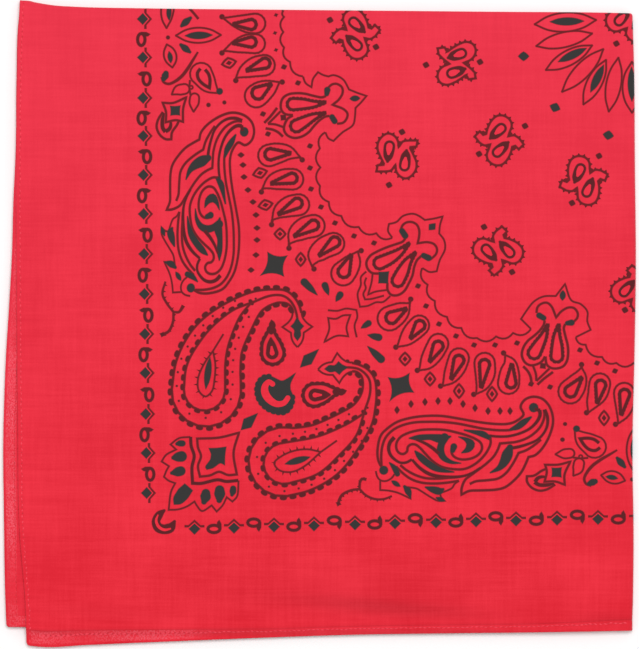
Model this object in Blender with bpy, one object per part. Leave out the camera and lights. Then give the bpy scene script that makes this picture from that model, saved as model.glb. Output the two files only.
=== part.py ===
"""A square cotton bandana, folded in quarters and lying flat.

The cloth is folded in half under its top crease, and then in half again under its right crease, so four layers lie
on each other: front, under, inner and back, from the top down. The front layer carries both creases that go all the
way round it. The inner and back layers are out of sight and share one solid, open between them along its free edges.
Every open edge has a turned hem.

X runs towards the right crease, Y towards the top crease and Z up. Sizes are in millimetres until a mesh is made.
"""

import bisect
import math
from collections import namedtuple

import bmesh
import bpy
import numpy as np

MM = 0.001

# The cloth and the way it lies.
CLOTH_SIDE = 558.8
HALF_SIDE = CLOTH_SIDE / 4
WALL = 1.0
GAP = 0.3
HEM_WIDTH = 5.0
UNDER_HEM_RISE = 0.5
HEM_SWELL = 1.3
HIDDEN_FLANGE_CELLS = 2

# What follows from those sizes: heights and radii of the folds, to the middle of a wall.
PITCH = WALL + GAP
CREASE_RADIUS = PITCH / 2
PAIR_RADIUS = PITCH
STACK_MIDDLE = 2 * PITCH - GAP / 2
HEM_END = (HEM_WIDTH + GAP) / (2 * HALF_SIDE)
SEAM = GAP / (2 * HALF_SIDE)

# How far each edge of the folded square stands outside its nominal place, along its length.
# Rows are (fraction from the left or the bottom, millimetres outwards).
TOP_CREASE = (
    (0.00, 4.5),
    (0.02, 3.4),
    (0.05, 2.2),
    (0.09, 1.5),
    (0.20, 0.8),
    (0.40, 0.2),
    (0.60, -0.3),
    (0.80, -0.8),
    (0.95, -1.1),
    (1.00, -1.4),
)
RIGHT_CREASE = (
    (0.00, 0.1),
    (0.15, 0.6),
    (0.30, 0.1),
    (0.45, 1.0),
    (0.60, 1.6),
    (0.75, 1.2),
    (0.93, 0.7),
    (1.00, 0.1),
)
FRONT_BOTTOM = (
    (0.00, 3.9),
    (0.03, 4.6),
    (0.10, 3.7),
    (0.25, 2.0),
    (0.40, 0.4),
    (0.55, -0.9),
    (0.70, -1.5),
    (0.85, -2.0),
    (1.00, -2.7),
)
FRONT_LEFT = (
    (0.00, -9.2),
    (0.05, -9.0),
    (0.18, -6.2),
    (0.35, -5.4),
    (0.55, -4.9),
    (0.80, -4.9),
    (0.97, -5.9),
    (1.00, -6.3),
)
UNDER_BOTTOM = (
    (0.00, -4.3),
    (0.50, -4.5),
    (1.00, -5.0),
)
UNDER_LEFT = (
    (0.00, -0.3),
    (0.06, 0.3),
    (0.18, 0.8),
    (0.30, 1.1),
    (0.36, 0.7),
    (0.44, -0.2),
    (0.52, -1.6),
    (0.60, -2.8),
    (0.68, -3.4),
    (0.76, -4.4),
    (0.88, -4.8),
    (0.97, -5.7),
    (1.00, -6.8),
)
INNER_BOTTOM = ((0.0, -5.2), (0.5, -5.6), (1.0, -6.0))
INNER_LEFT = ((0.0, -1.8), (0.3, -0.6), (0.6, -4.4), (1.0, -8.2))
BACK_BOTTOM = ((0.0, 2.8), (0.25, 0.6), (0.5, -1.8), (0.75, -3.2), (1.0, -4.2))
BACK_LEFT = ((0.0, -10.4), (0.18, -7.6), (0.5, -6.4), (0.8, -6.6), (1.0, -8.2))

# The front layer stands a little off the under layer, except in these soft hollows.
Hollow = namedtuple("Hollow", "x y half_length half_width depth slant")
HOLLOWS = (
    Hollow(x=45.0, y=-124.0, half_length=75.0, half_width=6.5, depth=0.55, slant=0.02),
    Hollow(x=-96.0, y=-126.0, half_length=30.0, half_width=6.0, depth=0.4, slant=-0.03),
    Hollow(x=-4.0, y=2.0, half_length=26.0, half_width=15.0, depth=0.35, slant=-0.7),
    Hollow(x=36.0, y=-30.0, half_length=30.0, half_width=14.0, depth=0.4, slant=-0.7),
    Hollow(x=-8.0, y=-48.0, half_length=24.0, half_width=13.0, depth=0.3, slant=0.4),
    Hollow(x=-84.0, y=-70.0, half_length=28.0, half_width=14.0, depth=0.3, slant=0.3),
)
FRONT_LOFT = 0.6
SIDE_RISE = 0.3
LOWER_DROP = 2.0

# A layer of the folded cloth: its free edges, and its place in the two folds.
Layer = namedtuple("Layer", "left bottom outside below relief")
FRONT = Layer(FRONT_LEFT, FRONT_BOTTOM, outside=True, below=False, relief=True)
UNDER = Layer(UNDER_LEFT, UNDER_BOTTOM, outside=False, below=False, relief=False)
INNER = Layer(INNER_LEFT, INNER_BOTTOM, outside=False, below=True, relief=False)
BACK = Layer(BACK_LEFT, BACK_BOTTOM, outside=True, below=True, relief=False)

# A line across or along a layer: its place from 0 to 1, how far it has turned round the crease beyond 1, and how
# full the wall is there on its print side and on its wrong side.
Line = namedtuple("Line", "place turn print_side wrong_side", defaults=(0.0, 1.0, 1.0))


def lerp(start, end, fraction):
    return start + (end - start) * fraction


def smooth_step(value, start, end):
    """0 before start, 1 after end and an even rise between them."""
    fraction = min(max((value - start) / (end - start), 0.0), 1.0)
    return fraction * fraction * (3.0 - 2.0 * fraction)


def along(edge, place):
    """An edge's outward offset at a place from 0 to 1, on a smooth curve through its rows."""
    places, offsets = zip(*edge)
    slopes = np.gradient(offsets, places)
    row = min(max(bisect.bisect_right(places, place) - 1, 0), len(places) - 2)
    span = places[row + 1] - places[row]
    t = (place - places[row]) / span
    start = (2 * t**3 - 3 * t**2 + 1) * offsets[row] + (t**3 - 2 * t**2 + t) * span * slopes[row]
    end = (3 * t**2 - 2 * t**3) * offsets[row + 1] + (t**3 - t**2) * span * slopes[row + 1]
    return float(start + end)


def front_relief(x, y, across, up):
    """How far the front layer lies above or below its flat height."""
    height = FRONT_LOFT
    for hollow in HOLLOWS:
        along_hollow = (x - hollow.x) + hollow.slant * (y - hollow.y)
        over_hollow = (y - hollow.y) - hollow.slant * (x - hollow.x)
        reach = (along_hollow / hollow.half_length) ** 2 + (over_hollow / hollow.half_width) ** 2
        height -= hollow.depth * math.exp(-reach)
    near_side = 1.0 - smooth_step(across, 0.02, 0.08)
    height += SIDE_RISE * near_side * smooth_step(up, 0.0, 0.1)
    under_edge = -HALF_SIDE - along(UNDER_BOTTOM, across)
    past_under = smooth_step(under_edge - y, 0.6, 4.6)
    height -= LOWER_DROP * past_under * (1.0 - smooth_step(across, 0.7, 0.95))
    from_creases = (1.0 - smooth_step(up, 0.9, 1.0)) * (1.0 - smooth_step(across, 0.9, 1.0))
    return height * from_creases


def cloth_point(layer, column, row, depth):
    """The point of a layer where a column and a row cross, a depth outwards from the middle of its wall."""
    crease_x = HALF_SIDE + along(RIGHT_CREASE, row.place) - STACK_MIDDLE
    crease_y = HALF_SIDE + along(TOP_CREASE, column.place) - CREASE_RADIUS - WALL / 2
    left = -HALF_SIDE - along(layer.left, row.place)
    bottom = -HALF_SIDE - along(layer.bottom, column.place)
    radius = CREASE_RADIUS + depth
    rise = radius * math.cos(row.turn) * (1 if layer.outside else -1)
    turn = math.pi - column.turn if layer.below else column.turn
    reach = PAIR_RADIUS + rise
    x = lerp(left, crease_x, column.place)
    y = lerp(bottom, crease_y, row.place)
    z = STACK_MIDDLE + reach * math.cos(turn)
    if layer.relief:
        z += front_relief(x, y, column.place, row.place)
    return x + reach * math.sin(turn), y + radius * math.sin(row.turn), z


def lines(start, end, count, crowding=1.0):
    """Flat lines from start to end, closer together near the start where crowding is above 1."""
    return [Line(lerp(start, end, (k / count) ** crowding)) for k in range(count + 1)]


def columns_across():
    """The lines that every layer shares, from inside its side hem to the right crease."""
    return lines(HEM_END, 1.0, 18, crowding=1.35)


def rows_up():
    """The lines that every layer shares, from inside its lower hem to the top crease."""
    return lines(HEM_END, 1.0, 20, crowding=1.35)


def inner_lines(shared, end):
    """The shared lines that lie between the hems and an end place."""
    return [line for line in shared if HEM_END < line.place < end]


def turned_lines(angle, count):
    """Lines round a crease, from just past the flat part to the given angle."""
    return [Line(1.0, angle * (k + 1) / count) for k in range(count)]


def hem_lines(print_swell, wrong_swell):
    """Lines over a turned hem: a rounded outer edge, a fuller middle and a firm stitched inner edge."""
    profile = (
        (0.0, 0.4, 0.4),
        (0.2, 0.8, 0.8),
        (0.6, 1.0, 1.0),
        (HEM_WIDTH * 0.45, print_swell, wrong_swell),
        (HEM_WIDTH - 0.5, 1.0, 1.0),
        (HEM_WIDTH, 0.8, 0.8),
    )
    return [Line(width / (2 * HALF_SIDE), 0.0, outer, inner) for width, outer, inner in profile]


def open_edge(start):
    """Two lines that round off a wall's free edge at a place."""
    return [Line(start, 0.0, 0.4, 0.4), Line(start + 0.4 / (2 * HALF_SIDE), 0.0, 1.0, 1.0)]


def face_depths(column, row):
    """Depths of the print side and the wrong side where a column and a row cross."""
    print_depth = WALL / 2 * column.print_side * row.print_side
    wrong_depth = -WALL / 2 * column.wrong_side * row.wrong_side
    return print_depth, wrong_depth


def add_object(name, points, faces, material):
    """Makes one closed, outward-facing mesh object from points in millimetres."""
    mesh = bpy.data.meshes.new(name)
    mesh.from_pydata([tuple(MM * value for value in point) for point in points], [], faces)
    bm = bmesh.new()
    bm.from_mesh(mesh)
    bmesh.ops.remove_doubles(bm, verts=bm.verts, dist=0.01 * MM)
    bmesh.ops.triangulate(bm, faces=bm.faces)
    bmesh.ops.recalc_face_normals(bm, faces=bm.faces)
    bm.to_mesh(mesh)
    bm.free()
    mesh.materials.append(material)
    mesh.shade_smooth()
    mesh.set_sharp_from_angle(angle=math.radians(40))
    thing = bpy.data.objects.new(name, mesh)
    bpy.context.scene.collection.objects.link(thing)
    return thing


def make_wall(name, layer, columns, rows, material):
    """One piece of a layer as a closed wall, over every column and row given."""
    points = []
    for side in (0, 1):
        for row in rows:
            points += [cloth_point(layer, column, row, face_depths(column, row)[side]) for column in columns]
    width = len(columns)
    sheet = width * len(rows)
    faces = []
    for j in range(len(rows) - 1):
        for i in range(width - 1):
            corner = j * width + i
            quad = (corner, corner + 1, corner + width + 1, corner + width)
            faces.append(quad)
            faces.append(tuple(sheet + index for index in reversed(quad)))
    last_row = sheet - width
    rim = list(range(width))
    rim += [(j + 1) * width - 1 for j in range(1, len(rows))]
    rim += list(range(last_row + width - 2, last_row - 1, -1))
    rim += [j * width for j in range(len(rows) - 2, 0, -1)]
    for here, there in zip(rim, rim[1:] + rim[:1]):
        faces.append((there, here, sheet + here, sheet + there))
    return add_object(name, points, faces, material)


def make_hidden_layers(name, material):
    """The inner and back layers as one rounded solid, parted by a gap along its left and bottom edges."""
    flange = columns_across()[HIDDEN_FLANGE_CELLS].place
    crease_end = 1.0 - 4.0 / (2 * HALF_SIDE)
    columns = open_edge(0.0) + inner_lines(columns_across(), crease_end) + [Line(crease_end), Line(1.0 - SEAM)]
    rows = open_edge(0.0) + inner_lines(rows_up(), crease_end) + [Line(crease_end), Line(1.0)]
    rows += turned_lines(math.pi / 2, 4)
    # The four faces from the floor up: back layer's print side and wrong side, inner layer's wrong and print side.
    levels = ((BACK, 0), (BACK, 1), (INNER, 1), (INNER, 0))
    points = []
    for layer, side in levels:
        for row in rows:
            points += [cloth_point(layer, column, row, face_depths(column, row)[side]) for column in columns]
    width = len(columns)
    sheet = width * len(rows)
    cells_across = width - 1
    cells_up = len(rows) - 1

    def is_outside(i, j):
        """Whether a cell is past the solid's edges; past the top row there is only the closed crease."""
        return i < 0 or j < 0 or i == cells_across

    def is_parted(i, j):
        """Whether the two layers are apart in a cell, as they are past every edge but the crease."""
        if is_outside(i, j) or j == cells_up:
            return is_outside(i, j)
        in_side = columns[i + 1].place <= flange and rows[j + 1].place <= crease_end
        in_lower = rows[j + 1].place <= flange and columns[i + 1].place <= crease_end
        return in_side or in_lower

    faces = []
    for j in range(cells_up):
        for i in range(cells_across):
            corner = j * width + i
            ring = (corner, corner + 1, corner + width + 1, corner + width)
            neighbours = ((i, j - 1), (i + 1, j), (i, j + 1), (i - 1, j))
            faces.append(tuple(reversed(ring)))
            faces.append(tuple(3 * sheet + index for index in ring))
            parted = is_parted(i, j)
            if parted:
                faces.append(tuple(sheet + index for index in ring))
                faces.append(tuple(2 * sheet + index for index in reversed(ring)))
            for side, (here, there) in enumerate(zip(ring, ring[1:] + ring[:1])):
                outside = is_outside(*neighbours[side])
                if outside:
                    for level in (0, 2):
                        low, high = level * sheet, (level + 1) * sheet
                        faces.append((low + here, low + there, high + there, high + here))
                if not parted and is_parted(*neighbours[side]):
                    low, high = sheet, 2 * sheet
                    faces.append((low + here, low + there, high + there, high + here))
    return add_object(name, points, faces, material)


def cotton(name, colour, roughness):
    """A dyed cotton surface."""
    material = bpy.data.materials.new(name)
    material.use_nodes = True
    shader = material.node_tree.nodes["Principled BSDF"]
    shader.inputs["Base Color"].default_value = (*colour, 1.0)
    shader.inputs["Roughness"].default_value = roughness
    shader.inputs["Metallic"].default_value = 0.0
    return material


def build():
    for thing in list(bpy.data.objects):
        bpy.data.objects.remove(thing, do_unlink=True)
    printed = cotton("printed_cotton", (0.82, 0.034, 0.062), 0.86)
    plain = cotton("wrong_side_cotton", (0.80, 0.045, 0.072), 0.9)
    hem = cotton("hem_cotton", (0.78, 0.040, 0.066), 0.88)

    columns = columns_across() + turned_lines(math.pi, 6)
    rows = rows_up() + turned_lines(math.pi, 6)
    under_rows = rows_up()[:-1] + [Line(1.0 - SEAM)]
    side_rows = open_edge(0.0) + rows
    under_side_rows = open_edge(0.0)
    for line in under_rows:
        raised = 1.0 - smooth_step(line.place, 0.22, 0.38)
        rise = 1.0 + raised * UNDER_HEM_RISE / (WALL / 2)
        under_side_rows.append(line._replace(wrong_side=rise))

    make_wall("front_quarter", FRONT, columns, rows, printed)
    make_wall("front_side_hem", FRONT, hem_lines(HEM_SWELL, 1.0), side_rows, hem)
    make_wall("front_lower_hem", FRONT, columns, hem_lines(HEM_SWELL, 1.0), hem)
    make_wall("under_quarter", UNDER, columns, under_rows, plain)
    make_wall("under_side_hem", UNDER, hem_lines(1.0, 1.0), under_side_rows, plain)
    make_wall("under_lower_hem", UNDER, columns, hem_lines(1.0, 1.0), plain)
    make_hidden_layers("hidden_layers", printed)
    centre_on_floor()


def centre_on_floor():
    """Moves every mesh so that the middle of the part's footprint is the origin."""
    corners = [corner for thing in bpy.data.objects for corner in thing.bound_box]
    low = np.min(corners, axis=0)
    high = np.max(corners, axis=0)
    shift = (-(low[0] + high[0]) / 2, -(low[1] + high[1]) / 2, -low[2])
    for thing in bpy.data.objects:
        for vertex in thing.data.vertices:
            vertex.co.x += shift[0]
            vertex.co.y += shift[1]
            vertex.co.z += shift[2]
        thing.data.update()


build()
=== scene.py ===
"""Looks of the folded paisley bandana.

The cloth is laid out flat in its own coordinates first, in millimetres: u runs from a layer's side hem
towards the right crease, and v from its lower hem towards the top crease. The print is drawn there as
shapes that the cloth is cut along, and then each layer is laid into the folds of the CAD model. The
print's own places and sizes are in steps of its layout grid, whose columns count to the right and whose
rows count down.
"""

import math
import random
from collections import defaultdict, namedtuple

import bpy
import numpy as np
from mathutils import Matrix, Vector
from mathutils.geometry import delaunay_2d_cdt, tessellate_polygon


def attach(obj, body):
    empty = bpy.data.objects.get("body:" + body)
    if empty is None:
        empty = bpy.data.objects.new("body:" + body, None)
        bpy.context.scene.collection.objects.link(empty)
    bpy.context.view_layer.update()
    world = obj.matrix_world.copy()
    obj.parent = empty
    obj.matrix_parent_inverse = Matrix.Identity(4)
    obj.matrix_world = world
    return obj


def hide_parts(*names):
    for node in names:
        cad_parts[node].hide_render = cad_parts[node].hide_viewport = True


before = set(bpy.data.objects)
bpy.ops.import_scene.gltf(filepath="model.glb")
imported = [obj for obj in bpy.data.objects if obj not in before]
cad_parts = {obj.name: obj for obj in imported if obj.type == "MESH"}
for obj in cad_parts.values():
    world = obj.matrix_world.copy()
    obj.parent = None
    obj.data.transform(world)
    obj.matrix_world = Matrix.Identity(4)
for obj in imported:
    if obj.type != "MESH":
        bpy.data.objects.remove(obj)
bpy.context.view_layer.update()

MM = 0.001
random.seed(11)

# ---- The cloth and the way it lies, as in the CAD model but for SIDE_SINK and the troughs. Millimetres. ----

# The whole square, and the quarters that it is folded in.
CLOTH_SIDE = 558.8
SIDE = CLOTH_SIDE / 2
HALF_SIDE = SIDE / 2
# The layers' walls, and the radii at which the middles of the walls go round the creases.
WALL = 1.0
GAP = 0.3
PITCH = WALL + GAP
CREASE_RADIUS = PITCH / 2
PAIR_RADIUS = PITCH
OUTER_CREASE_RADIUS = PAIR_RADIUS + CREASE_RADIUS
STACK_MIDDLE = 2 * PITCH - GAP / 2
# How far the front layer lies above its flat height, sinks at its side edge, and drops past the under
# layer's lower edge.
FRONT_LOFT = 0.6
SIDE_SINK = 0.35
LOWER_DROP = 2.0
# Where these fade in or out: from and to, as shares of the way across or up, or in millimetres past the
# under layer.
SINK_FADE_ACROSS = (0.02, 0.08)
SINK_FADE_UP = (0.0, 0.1)
DROP_FADE_PAST_UNDER = (0.6, 4.6)
DROP_FADE_ACROSS = (0.7, 0.95)
RELIEF_FADE = (0.9, 1.0)

# The creases and the free edges. Rows are (fraction from the left or the bottom, millimetres outwards).
TOP_CREASE = ((0, 4.5), (0.02, 3.4), (0.05, 2.2), (0.09, 1.5), (0.2, 0.8), (0.4, 0.2), (0.6, -0.3),
              (0.8, -0.8), (0.95, -1.1), (1, -1.4))
RIGHT_CREASE = ((0, 0.1), (0.15, 0.6), (0.3, 0.1), (0.45, 1.0), (0.6, 1.6), (0.75, 1.2), (0.93, 0.7),
                (1, 0.1))
FRONT_BOTTOM = ((0, 3.9), (0.03, 4.6), (0.1, 3.7), (0.25, 2.0), (0.4, 0.4), (0.55, -0.9), (0.7, -1.5),
                (0.85, -2.0), (1, -2.7))
FRONT_LEFT = ((0, -9.2), (0.05, -9.0), (0.18, -6.2), (0.35, -5.4), (0.55, -4.9), (0.8, -4.9), (0.97, -5.9),
              (1, -6.3))
UNDER_BOTTOM = ((0, -4.3), (0.5, -4.5), (1, -5.0))
UNDER_LEFT = ((0, -0.3), (0.06, 0.3), (0.18, 0.8), (0.3, 1.1), (0.36, 0.7), (0.44, -0.2), (0.52, -1.6),
              (0.6, -2.8), (0.68, -3.4), (0.76, -4.4), (0.88, -4.8), (0.97, -5.7), (1, -6.8))
INNER_BOTTOM = ((0, -5.2), (0.5, -5.6), (1, -6.0))
INNER_LEFT = ((0, -1.8), (0.3, -0.6), (0.6, -4.4), (1, -8.2))
BACK_BOTTOM = ((0, 2.8), (0.25, 0.6), (0.5, -1.8), (0.75, -3.2), (1, -4.2))
BACK_LEFT = ((0, -10.4), (0.18, -7.6), (0.5, -6.4), (0.8, -6.6), (1, -8.2))

# Soft troughs of the front layer, and ridges where depth is below 0. x and y are the middle of each, and
# the last column is painted shade: how much darker the cloth's colour is painted in it.
Hollow = namedtuple("Hollow", "x y half_length half_width depth slant shade", defaults=(0.0,))
HOLLOWS = (
    Hollow(x=30, y=-127, half_length=40, half_width=3.4, depth=1.3, slant=-0.08, shade=0.17),
    Hollow(x=20, y=-121, half_length=80, half_width=14, depth=0.2, slant=-0.03, shade=0.05),
    Hollow(x=128, y=-131, half_length=14, half_width=2.6, depth=0.3, slant=0.02, shade=0.08),
    Hollow(x=-96, y=-130, half_length=34, half_width=4, depth=0.3, slant=-0.05, shade=0.03),
    Hollow(x=-4, y=2, half_length=26, half_width=13, depth=0.75, slant=-0.7),
    Hollow(x=36, y=-30, half_length=30, half_width=12, depth=0.8, slant=-0.7),
    Hollow(x=-8, y=-48, half_length=24, half_width=11, depth=0.7, slant=0.4),
    Hollow(x=-84, y=-70, half_length=28, half_width=11, depth=0.6, slant=0.3),
    Hollow(x=-95, y=126, half_length=34, half_width=6, depth=0.5, slant=-0.05),
    Hollow(x=70, y=-108, half_length=40, half_width=9, depth=0.4, slant=0.25),
    Hollow(x=100, y=20, half_length=12, half_width=36, depth=0.5, slant=-0.1),
    Hollow(x=-120, y=-20, half_length=2.5, half_width=100, depth=-0.35, slant=0.02),
)

# ---- The thin cloth. Millimetres. ----

CLOTH_THICKNESS = 0.35
# How deep the wrong side lies below the middle of the wall, on a layer that shows that side, and between
# which shares of the way up it comes to the wall's outer side.
WRONG_SIDE_DEPTH = 0.2
CREASE_APPROACH = (0.9, 0.99)
HEM_WIDTH = 5.0
# How wide the step is from a hem's turning down to the single cloth.
HEM_STEP = 0.12
# How far from its edge a hem still pulls on the cloth.
HEM_REACH = 14.0
CORNER_RADIUS = 1.4
# Spacing of the mesh's points in the field, and along the hems.
FIELD_PITCH = 4.0
HEM_PITCH = 1.3
# How far a hem's lines are from its edge, and where the close lines beside them end.
HEM_LINES = (0, 0.1, 0.25, 0.45, 0.7, 1.1, 1.6, 2.2, 2.9, 3.6, 4.3, 4.8, HEM_WIDTH, HEM_WIDTH + HEM_STEP,
             5.6, 6.6, 8)
BORDER_END = 24
# The number of lines round half a turn of a crease, and where they start.
CREASE_LINES = 10
CREASE_START = SIDE - 0.5
# How wide the front's lower hem looks where it lies rolled: (share of the way to the right crease, width).
ROLLED_HEM = ((0.05, 6.8), (0.42, 3.7), (0.85, 3.7), (1.0, HEM_WIDTH))
# The painted shade of the groove beside a lower hem: how much darker the colour is painted there, how far
# past the hem it is, and how wide.
PAINTED_GROOVE_SHADE = 0.2
GROOVE_PLACE = 0.2
GROOVE_WIDTH = 0.35
# Where the flecked bands start: from the side edge and the lower edge on the print side, and from both on
# the wrong side, where the side band also runs on a little past its hem.
PRINT_BAND_START = (2.4, 0.9)
WRONG_BAND_START = 1.2
WRONG_BAND_OVERRUN = 0.7
# How far the line between two covers may be off.
BORDER_SLACK = 0.02
# A triangle of the print is left out if it is thinner than this.
SLIVER_LIMIT = 0.003
# Edges that turn by more degrees than this stay sharp.
SMOOTH_ANGLE = 40
# How full a hem's wall is at a distance from its edge: (distance, fullness on the print side, on the wrong
# side).
HEM_PROFILE = ((0, 0.3, 0.3), (0.1, 0.58, 0.58), (0.25, 0.8, 0.8), (0.45, 0.93, 0.93), (0.7, 1, 1),
               (1.4, 1, 1), (2.2, 1.16, 1), (3.2, 1.18, 1), (4.3, 1.06, 1), (4.8, 0.97, 1), (5.6, 1, 1))

# ---- The print's layout grid. ----

# One step of the grid in millimetres, and the column and row of the middle of the cloth's footprint.
GRID = 0.4456
GRID_MIDDLE = (319.6, 323.5)
# Widths of the print's lines, and the width from which a line is laid in bold ink.
THIN = 1.4
FULL = 2.1
BOLD = 2.8
BOLD_WIDTH = 2.5
# The spacing of points along a curve, and of the beads along a line.
CURVE_STEP = 2.0
BEAD_PITCH = 5.6
# The power that makes a separate bead's oval squarer, where it is below 1.
BEAD_SQUARENESS = 0.85
# The thinnest that a blade gets, and the half width from which its end is round.
LEAST_HALF_WIDTH = 0.12
ROUND_END_FROM = 1
# What keeps the corners of a line from running out into spikes.
LEAST_STRAIGHTNESS = 0.6
# Where the border comes again: the sums and the stretches that turn it over the corner's diagonal.
DIAGONAL_SUMS = (671.0, 645.0)
DIAGONAL_STRETCHES = (1.034, 0.985)
# The head of the feathered paisley on the lower border, and the head of its twin beside the left column.
FEATHER_HEAD = (534.9, 407.9)
FEATHER_TWIN_HEAD = (243.9, 130.6)


def eased(t, span, start, end, start_slope, end_slope):
    """Values a fraction t of the way along a span, on a smooth curve with the given ends and slopes."""
    near = (2 * t**3 - 3 * t**2 + 1) * start + (t**3 - 2 * t**2 + t) * span * start_slope
    far = (3 * t**2 - 2 * t**3) * end + (t**3 - t**2) * span * end_slope
    return near + far


def edge_curve(rows):
    """A function for an edge's outward offset at places from 0 to 1, on a smooth curve through its rows."""
    places, offsets = np.array(rows, float).T
    slopes = np.gradient(offsets, places)

    def offset(place):
        row = np.clip(np.searchsorted(places, place, side="right") - 1, 0, len(places) - 2)
        span = places[row + 1] - places[row]
        t = (place - places[row]) / span
        return eased(t, span, offsets[row], offsets[row + 1], slopes[row], slopes[row + 1])

    return offset


top_crease = edge_curve(TOP_CREASE)
right_crease = edge_curve(RIGHT_CREASE)
under_bottom = edge_curve(UNDER_BOTTOM)

# A layer of the folded cloth: its free edges, its place in the two folds, and the radius it turns by at the
# right.
Layer = namedtuple("Layer", "left bottom outside below relief right_radius")
FRONT = Layer(edge_curve(FRONT_LEFT), edge_curve(FRONT_BOTTOM), True, False, True, OUTER_CREASE_RADIUS)
UNDER = Layer(edge_curve(UNDER_LEFT), under_bottom, False, False, False, CREASE_RADIUS)
INNER = Layer(edge_curve(INNER_LEFT), edge_curve(INNER_BOTTOM), False, True, False, CREASE_RADIUS)
BACK = Layer(edge_curve(BACK_LEFT), edge_curve(BACK_BOTTOM), True, True, False, OUTER_CREASE_RADIUS)


def peak(rows):
    """How far out the outermost of an edge's rows is."""
    return max(outwards for _, outwards in rows)


# What moves the middle of the cloth's footprint to the origin.
SHIFT_X = (peak(UNDER_LEFT) - peak(RIGHT_CREASE)) / 2
SHIFT_Y = (peak(FRONT_BOTTOM) - peak(TOP_CREASE)) / 2


def smooth_step(value, start, end):
    """0 before start, 1 after end and an even rise between them."""
    fraction = np.clip((value - start) / (end - start), 0.0, 1.0)
    return fraction * fraction * (3.0 - 2.0 * fraction)


def hollow_share(hollow, x, y):
    """How near places are to the middle of a hollow: 1 there, and fading to 0 outside it."""
    along_hollow = (x - hollow.x) + hollow.slant * (y - hollow.y)
    over_hollow = (y - hollow.y) - hollow.slant * (x - hollow.x)
    return np.exp(-(along_hollow / hollow.half_length) ** 2 - (over_hollow / hollow.half_width) ** 2)


def front_relief(x, y, across, up):
    """How far the front layer lies above or below its flat height."""
    height = FRONT_LOFT - sum(hollow.depth * hollow_share(hollow, x, y) for hollow in HOLLOWS)
    near_side = 1.0 - smooth_step(across, *SINK_FADE_ACROSS)
    height = height - SIDE_SINK * near_side * smooth_step(up, *SINK_FADE_UP)
    past_under = smooth_step(-HALF_SIDE - under_bottom(across) - y, *DROP_FADE_PAST_UNDER)
    height = height - LOWER_DROP * past_under * (1.0 - smooth_step(across, *DROP_FADE_ACROSS))
    return height * (1.0 - smooth_step(up, *RELIEF_FADE)) * (1.0 - smooth_step(across, *RELIEF_FADE))


def rolled_hem(across, v):
    """How far above the lower edge points lie, once the lower hem is drawn out or rolled in."""
    places, widths = np.array(ROLLED_HEM).T
    change = (np.interp(across, places, widths) - HEM_WIDTH) * np.clip(v / HEM_WIDTH, 0.0, 1.0)
    return v + change * (1.0 - smooth_step(v, HEM_WIDTH + HEM_STEP, HEM_REACH))


def flat_ends(layer, across, up):
    """Where a layer's flat ends: at its side edge, its lower edge, the right crease and the top crease."""
    left = -HALF_SIDE - layer.left(up)
    bottom = -HALF_SIDE - layer.bottom(across)
    crease_x = HALF_SIDE + right_crease(up) - STACK_MIDDLE
    crease_y = HALF_SIDE + top_crease(across) - CREASE_RADIUS - WALL / 2
    return left, bottom, crease_x, crease_y


def cloth_points(layer, u, v, depth):
    """Where points of a layer lie, in metres, a depth out from the middle of its wall towards its print side.

    None lies below the surface that the cloth rests on.
    """
    across = np.minimum(u / SIDE, 1.0)
    if layer.relief:
        v = rolled_hem(across, v)
    up = np.minimum(v / SIDE, 1.0)
    column_turn = np.maximum(u - SIDE, 0.0) / layer.right_radius
    row_turn = np.maximum(v - SIDE, 0.0) / CREASE_RADIUS
    left, bottom, crease_x, crease_y = flat_ends(layer, across, up)
    radius = CREASE_RADIUS + depth
    rise = radius * np.cos(row_turn) * (1 if layer.outside else -1)
    turn = math.pi - column_turn if layer.below else column_turn
    reach = PAIR_RADIUS + rise
    x = left + (crease_x - left) * across
    y = bottom + (crease_y - bottom) * up
    z = STACK_MIDDLE + reach * np.cos(turn)
    if layer.relief:
        z = z + front_relief(x, y, across, up)
    x = x + reach * np.sin(turn) + SHIFT_X
    y = y + radius * np.sin(row_turn) + SHIFT_Y
    return np.stack((x, y, np.maximum(z, 0.0)), 1) * MM


def cloth_places(grid_points):
    """The (u, v) of grid points as they are seen on the front layer from straight above."""
    x = (grid_points[:, 0] - GRID_MIDDLE[0]) * GRID - SHIFT_X
    y = (GRID_MIDDLE[1] - grid_points[:, 1]) * GRID - SHIFT_Y
    across = np.full(len(x), 0.5)
    up = np.full(len(x), 0.5)
    # The edges bend a little, so the places are found by coming nearer in turns.
    for _ in range(5):
        left, bottom, crease_x, crease_y = flat_ends(FRONT, across, up)
        across = np.clip((x - left) / (crease_x - left), -0.05, 1.0)
        up = np.clip((y - bottom) / (crease_y - bottom), -0.05, 1.0)
    round_x = round_crease(x - crease_x, OUTER_CREASE_RADIUS)
    round_y = round_crease(y - crease_y, CREASE_RADIUS)
    return np.stack((across * SIDE + round_x, up * SIDE + round_y), 1)


def round_crease(past, radius):
    """How far round a crease the cloth runs to points that are seen past the end of its flat."""
    past = np.maximum(past, 0.0)
    reach = radius + WALL / 2
    return radius * np.arcsin(np.minimum(past / reach, 1.0)) + np.maximum(past - reach, 0.0)


# ---- Paths of the print, as arrays of rows (column, row) on the layout grid. ----


def cross(first, second):
    """The cross product of each row (x, y) with the other's."""
    return first[:, 0] * second[:, 1] - first[:, 1] * second[:, 0]


def turning(path):
    """More than 0 if a closed path turns from its columns to its rows, and less if it turns the other way."""
    return np.sum(cross(path, np.roll(path, -1, axis=0)))


def unit(rows):
    """The rows at a length of 1."""
    return rows / np.maximum(np.linalg.norm(rows, axis=1), 1e-9)[:, None]


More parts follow.
